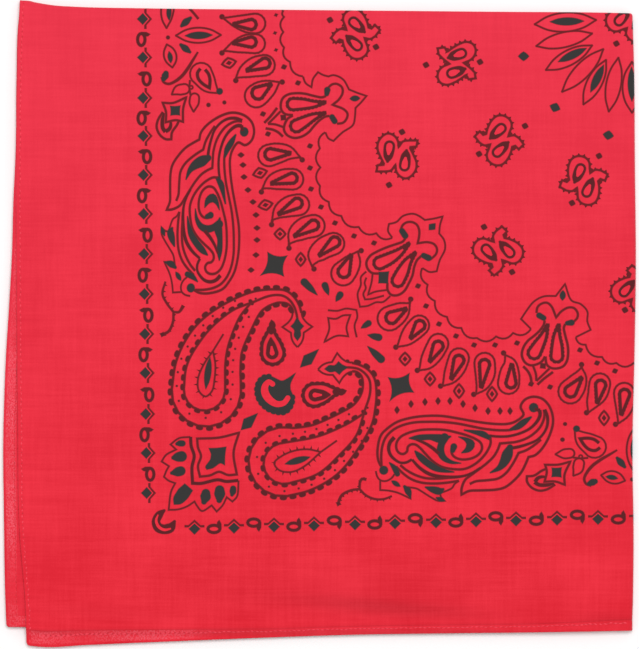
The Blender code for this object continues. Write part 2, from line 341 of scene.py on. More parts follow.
def curve(*points):
    """Rows on one smooth curve through the points. A third number in each point follows along."""
    rows = np.array(points, float)
    around = np.vstack((2 * rows[0] - rows[1], rows, 2 * rows[-1] - rows[-2]))
    gaps = np.sqrt(np.maximum(np.linalg.norm(np.diff(around[:, :2], axis=0), axis=1), 1e-3))
    rates = np.diff(around, axis=0) / gaps[:, None]
    weights = gaps[:-1] + gaps[1:]
    slopes = (rates[:-1] * gaps[1:, None] + rates[1:] * gaps[:-1, None]) / weights[:, None]
    made = []
    for k in range(len(slopes) - 1):
        gap = gaps[k + 1]
        count = max(1, math.ceil(gap**2 / CURVE_STEP))
        t = np.arange(count)[:, None] / count
        made.append(eased(t, gap, around[k + 1], around[k + 2], slopes[k], slopes[k + 1]))
    made.append(rows[-1:])
    return np.vstack(made)


def cornered(*runs, closed=False):
    """A path of smooth runs that meet at corners. Each run starts where the one before it ends."""
    path = curve(*runs[0])
    for run in runs[1:]:
        path = np.vstack((path, curve(path[-1], *run)[1:]))
    if closed:
        path = np.vstack((path, curve(path[-1], path[0])[1:-1]))
    return path


def arcs(nodes, bulge, closed=False):
    """A path of shallow arcs from node to node, each as high as bulge times its length."""
    nodes = np.array(nodes, float)
    ends = np.roll(nodes, -1, axis=0)
    t = np.linspace(0, 1, 7)[:-1, None]
    path = []
    for start, end in list(zip(nodes, ends))[: None if closed else -1]:
        chord = end - start
        normal = np.array((-chord[1], chord[0]))
        path.append(start + chord * t + normal * (4 * bulge * t * (1 - t)))
    return np.vstack(path + ([] if closed else [nodes[-1:]]))


def side_steps(path, closed=False):
    """Steps to one side of a path at each of its rows: unit long, and longer at its corners."""
    if closed:
        before = unit(path - np.roll(path, 1, axis=0))
        after = unit(np.roll(path, -1, axis=0) - path)
    else:
        steps = unit(np.diff(path, axis=0))
        before = np.vstack((steps[:1], steps))
        after = np.vstack((steps, steps[-1:]))
    along = unit(before + after)
    aside = np.stack((-along[:, 1], along[:, 0]), 1)
    straightness = np.maximum(np.sum(along * after, axis=1), LEAST_STRAIGHTNESS)
    return aside / straightness[:, None]


def travelled(path):
    """How far along a path each of its rows is."""
    return np.concatenate(([0.0], np.cumsum(np.linalg.norm(np.diff(path, axis=0), axis=1))))


def cap(middle, forward, half):
    """A half circle round the end of a blade, without its two end points."""
    aside = np.array((-forward[1], forward[0]))
    angles = np.radians(np.arange(70, -71, -20))[:, None]
    return middle + half * (np.sin(angles) * aside + np.cos(angles) * forward)


def blade(*rows):
    """The outline round a spine of rows (column, row, half width), with a round end where it is wide."""
    spine = curve(*rows)
    middle, half = spine[:, :2], np.maximum(spine[:, 2:3], LEAST_HALF_WIDTH)
    aside = side_steps(middle) * half
    forward = unit(np.diff(middle, axis=0))
    parts = [middle + aside]
    if half[-1] > ROUND_END_FROM:
        parts.append(cap(middle[-1], forward[-1], half[-1]))
    parts.append((middle - aside)[::-1])
    if half[0] > ROUND_END_FROM:
        parts.append(cap(middle[0], -forward[0], half[0]))
    return np.vstack(parts)


def leaf(start, end, half, bend=0.0):
    """The outline of a leaf with two pointed ends. bend moves its middle aside."""
    start, end = np.array(start, float), np.array(end, float)
    aside = unit(np.array([(start[1] - end[1], end[0] - start[0])]))[0] * bend
    near, middle, far = (start + (end - start) * t + aside * 4 * t * (1 - t) for t in (0.22, 0.5, 0.78))
    return blade((*start, 0.1), (*near, half * 0.72), (*middle, half), (*far, half * 0.72), (*end, 0.1))


def disc(x, y, radius, sides=12):
    """The outline of a disc."""
    angles = np.arange(sides) * (2 * math.pi / sides)
    return np.stack((x + radius * np.cos(angles), y + radius * np.sin(angles)), 1)


def diamond(x, y, half_x, half_y, turn, bow=-0.06):
    """A four-pointed diamond, turned by degrees, whose sides bow inwards."""
    corners = turned(np.array(((half_x, 0), (0, half_y), (-half_x, 0), (0, -half_y)), float), turn)
    return arcs(corners + (x, y), bow, closed=True)


def turned(path, degrees):
    """A path turned about the origin."""
    cosine, sine = math.cos(math.radians(degrees)), math.sin(math.radians(degrees))
    return path @ np.array(((cosine, sine), (-sine, cosine)))


def placer(origin, along, across):
    """A function that gives the place at distances along and across from an origin."""

    def at(u, v):
        return origin + along * u + across * v

    return at


def as_drawn(path):
    """The first place of every motif."""
    return path


def mirrored(path):
    """The other side of the corner's diagonal, where the border comes again, slightly off square."""
    column = DIAGONAL_SUMS[0] - DIAGONAL_STRETCHES[0] * path[:, 1]
    row = DIAGONAL_SUMS[1] - DIAGONAL_STRETCHES[1] * path[:, 0]
    return np.stack((column, row), 1)


def on_side(path):
    """The same for the feathered paisley, drawn on the lower border, beside the left column."""
    x, y = (path - FEATHER_HEAD).T
    column = FEATHER_TWIN_HEAD[0] - 0.91 * y - 0.024 * x
    row = FEATHER_TWIN_HEAD[1] - 1.02 * x + 0.05 * y
    return np.stack((column, row), 1)


# What covers the cloth: nothing, the soft rim of an inked shape, ink in thin lines, in bold lines, or solid
# ink. The wrong side of the cloth and the flecked bands along its hems are materials of their own too.
BARE, RIM, THIN_INK, BOLD_INK, SOLID_INK, WRONG_SIDE, HEM_BAND = range(7)
RIM_WIDTH = 0.5


class Print:
    """The print as flat triangles. What is laid down later covers what is there."""

    def __init__(self):
        self.triangles = []
        self.covers = []
        self.placings = (as_drawn,)

    def lay(self, triangles, cover):
        """Lays triangles down in each of the motif's places."""
        for place in self.placings:
            corners = place(np.asarray(triangles).reshape(-1, 2)).reshape(-1, 3, 2)
            self.triangles.append(corners)
            self.covers.append(np.full(len(corners), cover))

    def fill(self, outline, cover=SOLID_INK):
        """Fills a closed outline."""
        if cover != BARE:
            self.line(outline, 2 * RIM_WIDTH, closed=True, cover=RIM)
        faces = tessellate_polygon([[Vector((x, y, 0.0)) for x, y in outline]])
        self.lay(outline[np.array(faces)], cover)

    def clear(self, outline):
        """Leaves the cloth bare inside a closed outline."""
        self.fill(outline, BARE)

    def line(self, path, width, closed=False, bead=0.0, pitch=BEAD_PITCH, other_side=False, cover=None):
        """A line along a path, of one width or of widths that follow each other along it.

        It may swell into a row of beads on one side, the outer side of a closed path.
        """
        if cover is None:
            cover = BOLD_INK if np.mean(width) + bead > BOLD_WIDTH else THIN_INK
        if bead:
            path = resampled(path, pitch / 6, closed)
        if closed and turning(path) < 0:
            path = path[::-1]
        aside = side_steps(path, closed)
        if closed:
            path, aside = np.vstack((path, path[:1])), np.vstack((aside, aside[:1]))
        way = travelled(path)
        widths = np.atleast_1d(width)
        half = np.interp(way / way[-1], np.linspace(0, 1, len(widths)), widths)[:, None] / 2
        count = max(1, round(way[-1] / pitch))
        bumps = bead * np.abs(np.sin(math.pi * count * way / way[-1]))[:, None] ** 0.8
        bands = ((RIM, RIM_WIDTH), (cover, 0)) if cover not in (BARE, RIM) else ((cover, 0),)
        for kind, wider in bands:
            left = path + aside * (half + bumps * other_side + wider)
            right = path - aside * (half + bumps * (not other_side) + wider)
            near = np.stack((right[:-1], right[1:], left[1:]), 1)
            far = np.stack((right[:-1], left[1:], left[:-1]), 1)
            self.lay(np.concatenate((near, far)), kind)

    def outline(self, path, width=THIN, **more):
        """A closed outline round bare cloth."""
        self.clear(path)
        self.line(path, width, closed=True, **more)

    def beads(self, path, aside, pitch, long, wide):
        """Separate oval beads along a closed path, to one side of it."""
        path = resampled(path, pitch, closed=True)
        steps = unit(side_steps(path, closed=True))
        ahead = np.stack((steps[:, 1], -steps[:, 0]), 1)
        oval = disc(0, 0, 1)
        bead = np.sign(oval) * np.abs(oval) ** BEAD_SQUARENESS * (long / 2, wide / 2)
        for middle, step, forward in zip(path, steps, ahead):
            across = np.array((-forward[1], forward[0]))
            self.fill(middle + step * aside + bead[:, :1] * forward + bead[:, 1:] * across, BOLD_INK)

    def thorns(self, path, aside, pitch, wide, closed=False):
        """Short pointed thorns along a path, to one side of it: the outer side of a closed path."""
        if closed:
            if turning(path) > 0:
                path = path[::-1]
            path = np.vstack((path, path[:1]))
        path = resampled(path, pitch)
        middles = (path[:-1] + path[1:]) / 2
        ahead = unit(np.diff(path, axis=0))
        steps = np.stack((-ahead[:, 1], ahead[:, 0]), 1)
        starts, ends = middles - ahead * wide / 2, middles + ahead * wide / 2
        self.lay(np.stack((starts, ends, middles + steps * aside), 1), THIN_INK)


def resampled(path, pitch, closed=False):
    """The same path with rows an even pitch apart."""
    if closed:
        path = np.vstack((path, path[:1]))
    way = travelled(path)
    count = max(2, round(way[-1] / pitch))
    places = np.linspace(0, way[-1], count + 1)
    made = np.stack([np.interp(places, way, path[:, axis]) for axis in (0, 1)], 1)
    return made[:-1] if closed else made


# ---- The motifs, from the border inwards. ----

# Where the links of the border chain are: (column, row) of each diamond, away from the corner.
CHAIN_UP = ((146.6, 493), (146.2, 453), (145.7, 414), (145.2, 373), (144.8, 334), (144.4, 294), (144, 254),
            (143.6, 214), (143.4, 175), (143.2, 136), (143, 98), (142.8, 57.5), (142.6, 19), (142.5, -20))
CHAIN_ALONG = ((194.5, 529), (234, 528), (274, 526.8), (314, 525.7), (355, 524.6), (395, 523.5), (436, 522.5),
               (476, 521.6), (516, 520.7), (557, 519.9), (598, 519.2), (639, 518.8))


def chain_link(pen, middle, away, inner):
    """A filled diamond outside the chain's line, and the line's bend round it."""
    at = placer(middle, away, inner)
    pen.fill(np.array((at(5.6, 0.2), at(0, -5.4), at(-5.6, 0.2), at(0, 5.6))))
    pen.line(np.array((at(-10, 2.8), at(-5.6, 2.8), at(0, 8.0), at(5.6, 2.8), at(10, 2.8))), (1.9, 1.6, 1.9))
    pen.line(np.array((at(6.8, 0.4), at(0, 6.2), at(-6.8, 0.4))), 0.9, cover=BARE)


def chain_comma(pen, middle, away, inner, side):
    """A small ring with a thick tip that points away from the corner."""
    at = placer(middle, away, inner * side)
    ring = disc(0, 0, 1, 16)
    pen.line(at(ring[:, :1] * 6.0 - 0.7, ring[:, 1:] * 3.7 - 2.6), 2.7, closed=True)
    tip = np.array((at(4.6, 6.2), at(6.6, 2.4), at(6.8, -2.6), at(4.6, -1.2), at(2.2, 1.4), at(2.8, 4.2)))
    pen.fill(tip, BOLD_INK)


def border_chain(pen):
    """The chain up the left column and along the lower border, and the curl that joins them in the corner."""
    up, along = np.array(((0.0, -1.0), (1.0, 0.0)))
    for places, away, inner, shift, first_side in (
        (CHAIN_UP, up, along, (1.2, 0.6), -1),
        (CHAIN_ALONG, along, up, (0.4, -2.2), 1),
    ):
        side = first_side
        before = None
        for place in np.array(places, float):
            chain_link(pen, place, away, inner)
            if before is not None:
                chain_comma(pen, (place + before) / 2 + shift, away, inner, side)
                side = -side
            before = place
    pen.fill(blade((164.2, 510.5, 1.2), (159.5, 514.5, 3.6), (156, 521.5, 4.0), (158.5, 527.5, 4.6),
                   (164.5, 529.3, 4.6), (170.5, 527.5, 4.6), (174.5, 521.5, 1.3)), BOLD_INK)
    pen.line(curve((158.2, 514.5), (156.2, 520.5), (158.8, 526.8), (164.5, 529.8), (171, 528.5)),
             (1.2, 2.6, 3.0, 2.8, 1.6), cover=BARE)


def petal(pen, start, end, half, core, core_half, bend=0.0):
    """A pointed petal in outline, with a filled core where one is given."""
    pen.outline(leaf(start, end, half, bend))
    if core:
        pen.fill(leaf(*core, core_half, bend / 2))


def mid_edge_rosette(pen):
    """The petals round the middle of each side of the cloth."""
    petal(pen, (171.5, -10), (166.5, 28), 6.3, ((170, 4), (169.4, 20.5)), 2.4, 1.5)
    petal(pen, (166.8, 44.5), (172.4, 67.5), 6.2, ((169, 51.5), (170.8, 63)), 2.4, -0.6)
    petal(pen, (176, 35.6), (220.8, 35), 7.6, ((185, 35.8), (212.5, 35)), 3.6)
    pen.fill(blade((180.6, 26.8, 0.8), (185.6, 22.2, 3.3), (190.5, 18, 1.4)))
    pen.fill(blade((180.8, 44.8, 1.4), (185.5, 48.6, 3.2), (190.8, 52.8, 0.8)))
    pen.line(curve((189, 8), (194, 13.5), (198.5, 19)), FULL)
    pen.line(curve((198, 52), (193, 60), (188.5, 67.5), (182, 76), (175, 81.5), (168.5, 84), (163.5, 82),
                   (161.5, 77)), (1.4, 2.4, 2.9, 2.8, 2.2, 1.8))
    pen.fill(disc(168, 37.5, 1.9, 8), BOLD_INK)
    pen.fill(blade((163.7, 79.2, 2.2), (165.2, 76, 3.4), (166, 73.5, 2.6)))


def bud(pen):
    """A bud on its bowl, with a drop beside it."""
    pen.outline(blade((172, 94.4, 0.2), (178, 90.4, 4.6), (184.5, 89, 5.0)))
    pen.outline(blade((193.6, 111.6, 0.2), (194, 104, 4.4), (194.6, 98, 4.6)))
    pen.outline(blade((218.5, 93, 0.3), (209.5, 85.5, 7.6), (201.2, 74, 11.2)))
    pen.line(cornered(((200.5, 68.5), (197.5, 73), (198.5, 79), (203, 84), (209.5, 88)),
                      ((210, 80), (208.5, 74), (205, 69.5))), BOLD)
    pen.fill(disc(219.6, 91.4, 3.2))
    pen.line(curve((190, 80), (189.5, 88), (190.5, 95)), 1.6)
    pen.outline(disc(191.2, 87.4, 1.7, 8), 1.2)
    bowl = cornered(((163, 112), (158, 120), (156.7, 127.5), (160, 135), (166, 139.3), (171.3, 139.3)),
                    ((172, 132.5), (177, 125), (179, 120.5)))
    pen.line(bowl, 2.0)
    pen.line(curve((164, 113), (162.4, 121), (162.8, 128), (165.5, 132)), (1.8, 3.4, 3.4, 3.6))
    pen.line(curve((165.5, 131.5), (169.3, 129), (170.8, 125), (170.6, 121.5)), (3.6, 3.2, 2.0))
    panel = cornered(((162.7, 102.8), (173, 103), (186.3, 97.3)), ((183.2, 108.5), (183, 121.8)),
                     ((176, 120.2), (165.8, 122.3)), ((166, 112), (162.7, 102.8)))
    pen.outline(panel[:-1], 1.9)
    pen.fill(arcs(((170.2, 106), (180.4, 105.7), (180, 115.4), (170.6, 115.5)), 0.05, closed=True))
    pen.fill(disc(208.5, 105, 2), BOLD_INK)
    pen.fill(disc(224.4, 102.5, 1.8), BOLD_INK)


def drop(pen, spine, ring_tip, ring_head, ring_radius, ball):
    """A drop with a thick toothed ring inside it and a ball at its tip."""
    pen.outline(blade(*spine), THIN, bead=0.25, pitch=4.0)
    ring = blade((*ring_tip, 0.5), (*ring_head, ring_radius))
    pen.line(ring, 2.8, closed=True, bead=0.45, pitch=3.6)
    toward = np.array(ring_head) - ring_tip
    pen.fill(blade((*ring_tip, 0.5), (*(ring_tip + toward * 0.18), ring_radius * 0.32)), BOLD_INK)
    pen.fill(disc(*ball, 2.5), BOLD_INK)
    pen.line(curve(spine[0][:2], ball), 2.4)


# A drop of the row that follows the wavy line: its spine from the tip as (column, row, half width), its
# ring's tip, head and radius, and the ball past its tip.
Drop = namedtuple("Drop", "spine ring_tip ring_head ring_radius ball")
DROPS = (
    Drop(((224, 18.3, 0.3), (236, 21.5, 5.5), (248, 23.5, 9), (255.5, 23.5, 9.8)), (233.5, 24.3),
         (251, 24.5), 5, (222, 16.8)),
    Drop(((224.5, 50.5, 0.3), (236, 46.5, 6), (247, 43.8, 9), (255.5, 43.7, 9.5)), (233.5, 43),
         (251, 42.1), 5, (222, 53)),
    Drop(((236.5, 77.5, 0.3), (244, 72, 6), (255, 67, 9.6), (264.5, 65.3, 10.3)), (247, 70.4),
         (264.9, 63.3), 5, (235.8, 80.6)),
    Drop(((279, 82.5, 0.3), (271, 87, 7), (262, 92, 10.8), (256.3, 96, 11.5)), (271, 84.2),
         (258.3, 92.9), 6.2, (282.2, 82.1)),
    Drop(((299.5, 157, 0.3), (288, 153, 7), (277, 153.5, 10), (269, 155.5, 10.8)), (290, 153.3),
         (270.6, 154.3), 5.6, (302.2, 159.9)),
    Drop(((263, 188, 0.3), (272, 182.5, 7), (283, 179.5, 9.8), (293, 179.3, 10.3)), (271.6, 183.4),
         (292, 178.3), 5, (261.4, 192)),
    Drop(((272.5, 219.5, 0.3), (280, 211.5, 7), (289.5, 206.5, 10), (298.7, 204.8, 10.5)), (278.8, 214),
         (297.1, 203.3), 5, (271.6, 224.7)),
    Drop(((289.2, 243.5, 0.3), (295, 235, 7.5), (304.5, 228.3, 10.5), (313.7, 225.9, 11)), (294.6, 236),
         (313.5, 225.2), 5, (289, 248.2)),
    Drop(((312, 265.5, 0.3), (315, 256.5, 7.5), (323.5, 248.3, 10.3), (333.5, 243.7, 10.8)), (319.4, 255.3),
         (334.7, 242), 5, (314, 269)),
    Drop(((357.5, 252, 0.3), (354, 259.5, 7), (348.5, 267.5, 10.5), (343.2, 273.5, 12)), (351, 255.3),
         (343.9, 271.6), 5.8, (361.2, 250.7)),
    Drop(((409.5, 303.5, 0.3), (404, 308.5, 7), (397, 314, 10.5), (389.5, 318.5, 12)), (406.1, 308.9),
         (391.8, 317.6), 5.8, (410.7, 299.2)),
    Drop(((397.5, 346.5, 0.3), (405.5, 339.5, 6.5), (413, 331.5, 9.3), (419.3, 325.3, 9.8)), (410.7, 338),
         (419.8, 325.6), 5, (395.8, 347.2)),
    Drop(((419.5, 370, 0.3), (426, 363.5, 6.5), (433, 353.5, 9.5), (438.3, 343.8, 10)), (429.8, 361.3),
         (438, 346.3), 5, (417.3, 370.4)),
    Drop(((443, 385.5, 0.3), (449.5, 378, 6.5), (455.5, 367.5, 9.6), (458.9, 358.3, 10)), (451.3, 378.7),
         (458.8, 360.4), 5, (440.5, 386.1)),
    Drop(((476.5, 393.5, 0.3), (482, 385, 6.2), (485, 374, 9.6), (484.6, 363, 10.2)), (481.2, 387),
         (484.5, 364.6), 5, (473.7, 394.4)),
    Drop(((505.5, 355.5, 0.3), (509.5, 363, 6), (509.5, 373, 9.5), (508.5, 383.3, 10.6)), (511.8, 364.6),
         (511, 382.8), 5, (503.5, 353)),
    Drop(((581.5, 368, 0.3), (580, 376, 6.5), (575.5, 385, 10.5), (570.3, 391.5, 12)), (581.5, 377.8),
         (570.7, 391.1), 5.8, (581.5, 364.6)),
    Drop(((588.5, 412, 0.3), (592.5, 403, 6), (597.5, 393.5, 9.6), (599.8, 383.8, 10.4)), (597.2, 402.7),
         (600.6, 385.3), 5, (586.5, 412.7)),
    Drop(((618.5, 423, 0.3), (622.5, 414, 6), (624.8, 403, 9.6), (624.2, 393, 10.2)), (621.3, 414.3),
         (624.6, 394.4), 5, (615.5, 424.3)),
)

# Small motifs of the two rows beside the drops: (column, row, half width, half height, turn in degrees),
# and below them (column, row) alone.
OUTLINED_DIAMONDS = (
    (229, 63, 7, 5, -12), (260, 173, 7, 5, -15), (265.5, 205, 7, 5, -12), (280, 234, 5.4, 5.4, 0),
    (300.7, 259.4, 4.8, 6.4, 0), (405, 359, 5.4, 6.2, 0), (430, 379, 5.2, 6.4, 0), (459, 391, 5, 6.8, 0),
    (492, 394, 5, 7, 0), (604, 418, 5, 7, 0),
)
DIAMOND_DOTS_UP = ((241, 155), (243, 165), (244, 177), (248, 190), (253, 202), (256, 215), (257, 228),
                   (257, 240), (256, 255), (251, 270))
DIAMOND_DOTS_ALONG = ((397, 410), (411, 404), (425, 402), (438, 401), (450, 401), (463, 404), (475, 408),
                      (488, 411), (500, 411), (510, 411))
SMALL_LINE_DOTS = ((276, 15), (275, 33), (276, 50))
LINE_DOTS = ((284, 67), (298, 83), (310, 146), (310, 168), (311, 189), (321, 207),
             (335, 223), (354, 236), (374, 243), (418, 286), (426, 306), (439, 324), (456, 336), (474, 345),
             (495, 345), (517, 343), (580, 350), (597, 363), (615, 371), (263, 114), (268, 134), (531, 384),
             (550, 387))


def drop_row(pen):
    """The drops, and the small diamonds on both sides of them."""
    for row in DROPS:
        drop(pen, *row)
    for column, row, half_x, half_y, turn in OUTLINED_DIAMONDS:
        pen.outline(diamond(column, row, half_x, half_y, turn), 1.7)
        pen.fill(diamond(column, row, half_x * 0.42, half_y * 0.42, turn, 0), BOLD_INK)
    for column, row in DIAMOND_DOTS_UP:
        pen.fill(diamond(column, row, 3.3, 2.6, 0, -0.04), BOLD_INK)
    for column, row in DIAMOND_DOTS_ALONG:
        pen.fill(diamond(column, row, 2.5, 3.7, 0, -0.04), BOLD_INK)
    for column, row in LINE_DOTS:
        pen.fill(diamond(column, row, 3.0, 2.6, -20, -0.05), BOLD_INK)
    for column, row in SMALL_LINE_DOTS:
        pen.fill(diamond(column, row, 2.0, 1.7, -20, 0.03), BOLD_INK)


# The wavy line round the middle field: its cusps in four stretches, and the runs of the free outline of the
# lobe after each of the first three.
WAVES = (
    ((283.5, -6), (283, 11), (284, 17), (283.3, 32), (284, 47.5), (290, 62), (303, 76.5)),
    ((325.3, 132.3), (319.8, 148.5), (320.3, 167.5), (320, 186), (328.8, 202), (341.3, 216), (358.7, 227),
     (376.3, 233.3), (392.3, 237.8)),
    ((422.2, 268), (427.6, 284.7), (434.8, 301), (447, 317), (461.3, 328), (477, 338), (496, 336.5),
     (513, 333), (531, 329)),
    ((575.7, 337.2), (585.6, 344.7), (602, 357), (616.3, 363), (633.7, 363), (650, 360)),
)
LOBES = (
    (((303, 76.5), (305.5, 83), (311.5, 87.3)), ((313, 79), (318, 72.3)), ((323, 75), (328.5, 76.5)),
     ((333, 75.2), (339, 76.8), (344, 80.5), (349, 89.5)), ((357, 92.8), (366.5, 96)), ((361, 102.5),
                                                                                        (355.5, 108)),
     ((355, 116), (353, 125), (343, 132), (338.5, 136), (333.5, 141)), ((328.5, 138.5), (325.3, 132.3))),
    (((392.3, 237.8), (388, 231), (389, 224)), ((396.4, 222), (403, 216), (413, 213.8), (419, 216),
                                                (424.8, 220)),
     ((434, 218.6), (442.6, 216.5)), ((440, 225), (439.2, 233.6)),
     ((444, 240), (445, 249), (439.8, 260), (438, 266), (436.7, 271.3)), ((429.5, 272), (422.2, 268))),
    (((531, 329), (521, 319)), ((527, 310), (534, 301.5), (543.5, 296.5), (555.8, 296)), ((565, 284),),
     ((571.5, 300.5), (580.5, 304), (587.3, 311.5), (587.3, 321.5), (590.6, 329.8)), ((575.7, 337.2),)),
)


def wavy_line(pen):
    """The line that parts the border from the middle field."""
    for nodes in WAVES:
        pen.line(arcs(nodes, 0.22), THIN)
    for runs in LOBES:
        pen.line(cornered(*runs), THIN)


def double_drop(pen, drops, volute, balls, rings):
    """Two drops that part from one stem, with a volute between them that ends in two balls."""
    for path in drops:
        pen.line(curve(*path), 2.0)
    pen.line(cornered(*volute), 1.9)
    for ball in balls:
        pen.fill(blade(*ball))
    for rows in rings:
        pen.line(blade(*rows), 2.4, closed=True, bead=0.6, pitch=3.8)
        (tip_x, tip_y, _), (x, y, half) = rows[:2]
        middle_x, middle_y = tip_x + (x - tip_x) * 0.5, tip_y + (y - tip_y) * 0.5
        pen.fill(blade((tip_x, tip_y, 0.3), (middle_x, middle_y, half * 0.55)), BOLD_INK)


def side_lobe(pen):
    """The double drop in each lobe beside a mid-edge rosette, and the small bracket at its foot."""
    drops = (
        ((326, 96), (322, 97.4), (314, 96), (305, 93.8), (297, 93.2), (288.5, 94.4), (283, 98), (280.8, 104),
         (281.4, 110), (285, 114), (293, 115.2)),
        ((329.5, 116), (325.5, 116.6), (320, 120), (314, 126), (309, 132), (302, 136.5), (294, 138),
         (287, 135), (284, 130), (284.8, 124), (288, 118.5), (293, 115.5)),
    )
    volute = (((328, 88), (332, 84.5), (337, 84), (342, 87.5), (342.6, 93), (338.5, 100), (332.5, 104.8)),
              ((344, 109.5), (347.5, 113.8), (346.5, 119), (343, 122.8), (337, 123.8)))
    balls = (((326.7, 94, 2.2), (327.3, 90, 3.0)), ((332, 117, 2.6), (334.6, 121.2, 2.8)))
    rings = (((325, 102.5, 0.3), (313.5, 104.2, 2.9), (303, 104, 4.8), (293, 104.2, 5.6)),
             ((325, 113.2, 0.3), (313.5, 117, 2.9), (304, 122, 4.8), (296.5, 126, 5.8)))
    double_drop(pen, drops, volute, balls, rings)
    pen.fill(leaf((349.8, 98.8), (360, 98.2), 2.8))
    pen.line(curve((268, 124), (274, 118), (280.6, 111.4)), 1.8)
    pen.line(curve((268, 124), (275, 124.4), (283.5, 127.2)), 1.8)
    pen.line(curve((264.2, 123), (270, 117), (277.2, 107.8)), FULL)
    pen.line(curve((265.5, 128.4), (273, 129.8), (278.5, 132.6), (283, 136.8)), FULL)
    pen.fill(diamond(283.4, 117.6, 3.8, 3.6, 40, 0.03), BOLD_INK)


def corner_lobe(pen):
    """The double drop in the lobe on the diagonal, and the nested brackets below it."""
    drops = (
        ((406, 237), (403, 241.4), (396.4, 244), (387.6, 247), (377.6, 251.3), (370, 256), (366.4, 262.4),
         (367.6, 268.6), (372, 273), (379, 273.6)),
        ((421.4, 255.8), (417, 260.2), (414.2, 267), (412.6, 275), (408.7, 283.6), (404, 291.3),
         (397.6, 295.2), (391, 294.7), (387.6, 290), (387.4, 283)),
    )
    volute = (((400.8, 229.5), (402.8, 225), (407, 222.3), (412.5, 222.2), (417, 225), (419.2, 230.5),
               (419, 237), (417.6, 243.3)),
              ((427.6, 242.2), (434.2, 244.3), (437, 249), (436, 254), (430, 259.8)))
    balls = (((402, 231, 2.8), (405.2, 235.8, 3.0)), ((423.6, 255.6, 2.6), (428.6, 258, 3.0)))
    rings = (((409, 243.6, 0.3), (399.6, 252.2, 3.1), (390, 258.3, 5.0), (379.8, 263, 5.8)),
             ((415.3, 252.8, 0.3), (407.6, 262, 3.2), (402.5, 272, 5.4), (398, 280.6, 5.8)))
    double_drop(pen, drops, volute, balls, rings)
    pen.fill(arcs(((429.2, 224.4), (435.4, 223.4), (435, 229.4), (429, 230)), -0.03, closed=True))
    pen.fill(arcs(((378.6, 272), (389, 271.4), (388, 283.6), (378.4, 283.2)), 0.03, closed=True))
    for runs in (
        (((366.4, 271.5), (361, 277), (360.8, 285), (357.6, 294), (360, 306.8)),
         ((368, 305.8), (376, 302.3), (383, 302), (390.3, 296))),
        (((366.4, 277.5), (364.6, 283), (365.8, 288), (363.3, 294), (365, 299.4)), ((371, 299),
                                                                                    (384, 295.6))),
        (((372.6, 273.6), (371.6, 282), (368, 294.8)), ((375, 291.8), (387, 290))),
    ):
        pen.line(cornered(*runs), THIN)


def bracketed_panel(pen):
    """The small panel on the diagonal, with a bracket round its outer corner."""
    panel = cornered(((328.2, 318), (336, 318.8), (343, 315.5), (350.3, 315)), ((346.5, 327.5),
                                                                                (348.2, 336.3)),
                     ((337, 335.8), (324.4, 342)), ((329.2, 329), (328.2, 318)))
    pen.line(panel[:-1], THIN, closed=True)
    pen.line(cornered(((327.8, 310.2), (337.6, 310.8), (346, 308.6), (356.4, 310)),
                      ((357.3, 317), (354.6, 325.5), (356.7, 337.4))), THIN)


def loose_leaves(pen):
    """Filled drops and stars between the big shapes: (x, y of the round end, x, y of the tip, half width)."""
    for x, y, tip_x, tip_y, half in (
        (301, 278.8, 317.3, 295.1, 3.6), (324, 282.9, 328.6, 295.1, 3.2), (341.3, 293, 335.9, 301.4, 3.2),
        (370.4, 322, 361, 328.2, 3.0), (381.5, 338, 367.6, 335, 3.5), (384.4, 362.4, 367.6, 346.3, 3.8),
    ):
        x += (tip_x - x) * 0.2
        y += (tip_y - y) * 0.2
        pen.fill(blade((tip_x, tip_y, 0.2), ((x + tip_x) / 2, (y + tip_y) / 2, half * 0.8), (x, y, half)))
    for tip_x, tip_y, x, y in ((318.8, 349.2, 300.2, 367.4), (257.8, 413.2, 241, 430)):
        middle = np.array(((x + tip_x) / 2 - 1.2, (y + tip_y) / 2 + 1.0))
        pen.fill(cornered(((tip_x, tip_y), middle - (4.4, 3.6)), ((x, y),), (middle + (3.0, 4.8),),
                          closed=True))
    for corners in (
        ((267.5, 252), (287.5, 255.5), (284, 276.5), (260, 275.8)),
        ((388, 377.3), (409.5, 373), (414, 392.5), (389.5, 401.5)),
    ):
        pen.fill(arcs(corners, 0.13, closed=True))


def high_paisley(pen):
    """The big paisley beside the border's left column."""
    body = blade((297.3, 314, 4.3), (296, 307.5, 3.8), (291.5, 301, 4.6), (284.5, 296.8, 6.2),
                 (275, 296.3, 7), (256, 302, 11), (235, 320, 20), (217, 343, 27.7), (208.5, 367, 32.7),
                 (206.3, 392, 34.7))
    loop = blade((250, 303.5, 0.3), (236, 314, 5), (222.5, 331, 10.5), (213.5, 347, 14.5), (206, 369, 19.5),
                 (204.5, 390, 20.7))
    neck = curve((297.4, 319), (296.4, 313.5), (294.3, 307), (290, 300.5), (284, 296.2), (277.5, 295),
                 (268, 296.3), (250, 303.5))
    big_paisley(pen, body, loop)
    fleur(pen, (297.5, 347.2), (-0.01, -1.0), neck)
    thorny_lens(pen, ((213, 351), (204, 364), (198, 379), (199, 391), (205.5, 396.5), (212, 391),
                      (214.7, 378), (215.3, 364)), (205.8, 389), (210, 357), (223.5, 334))


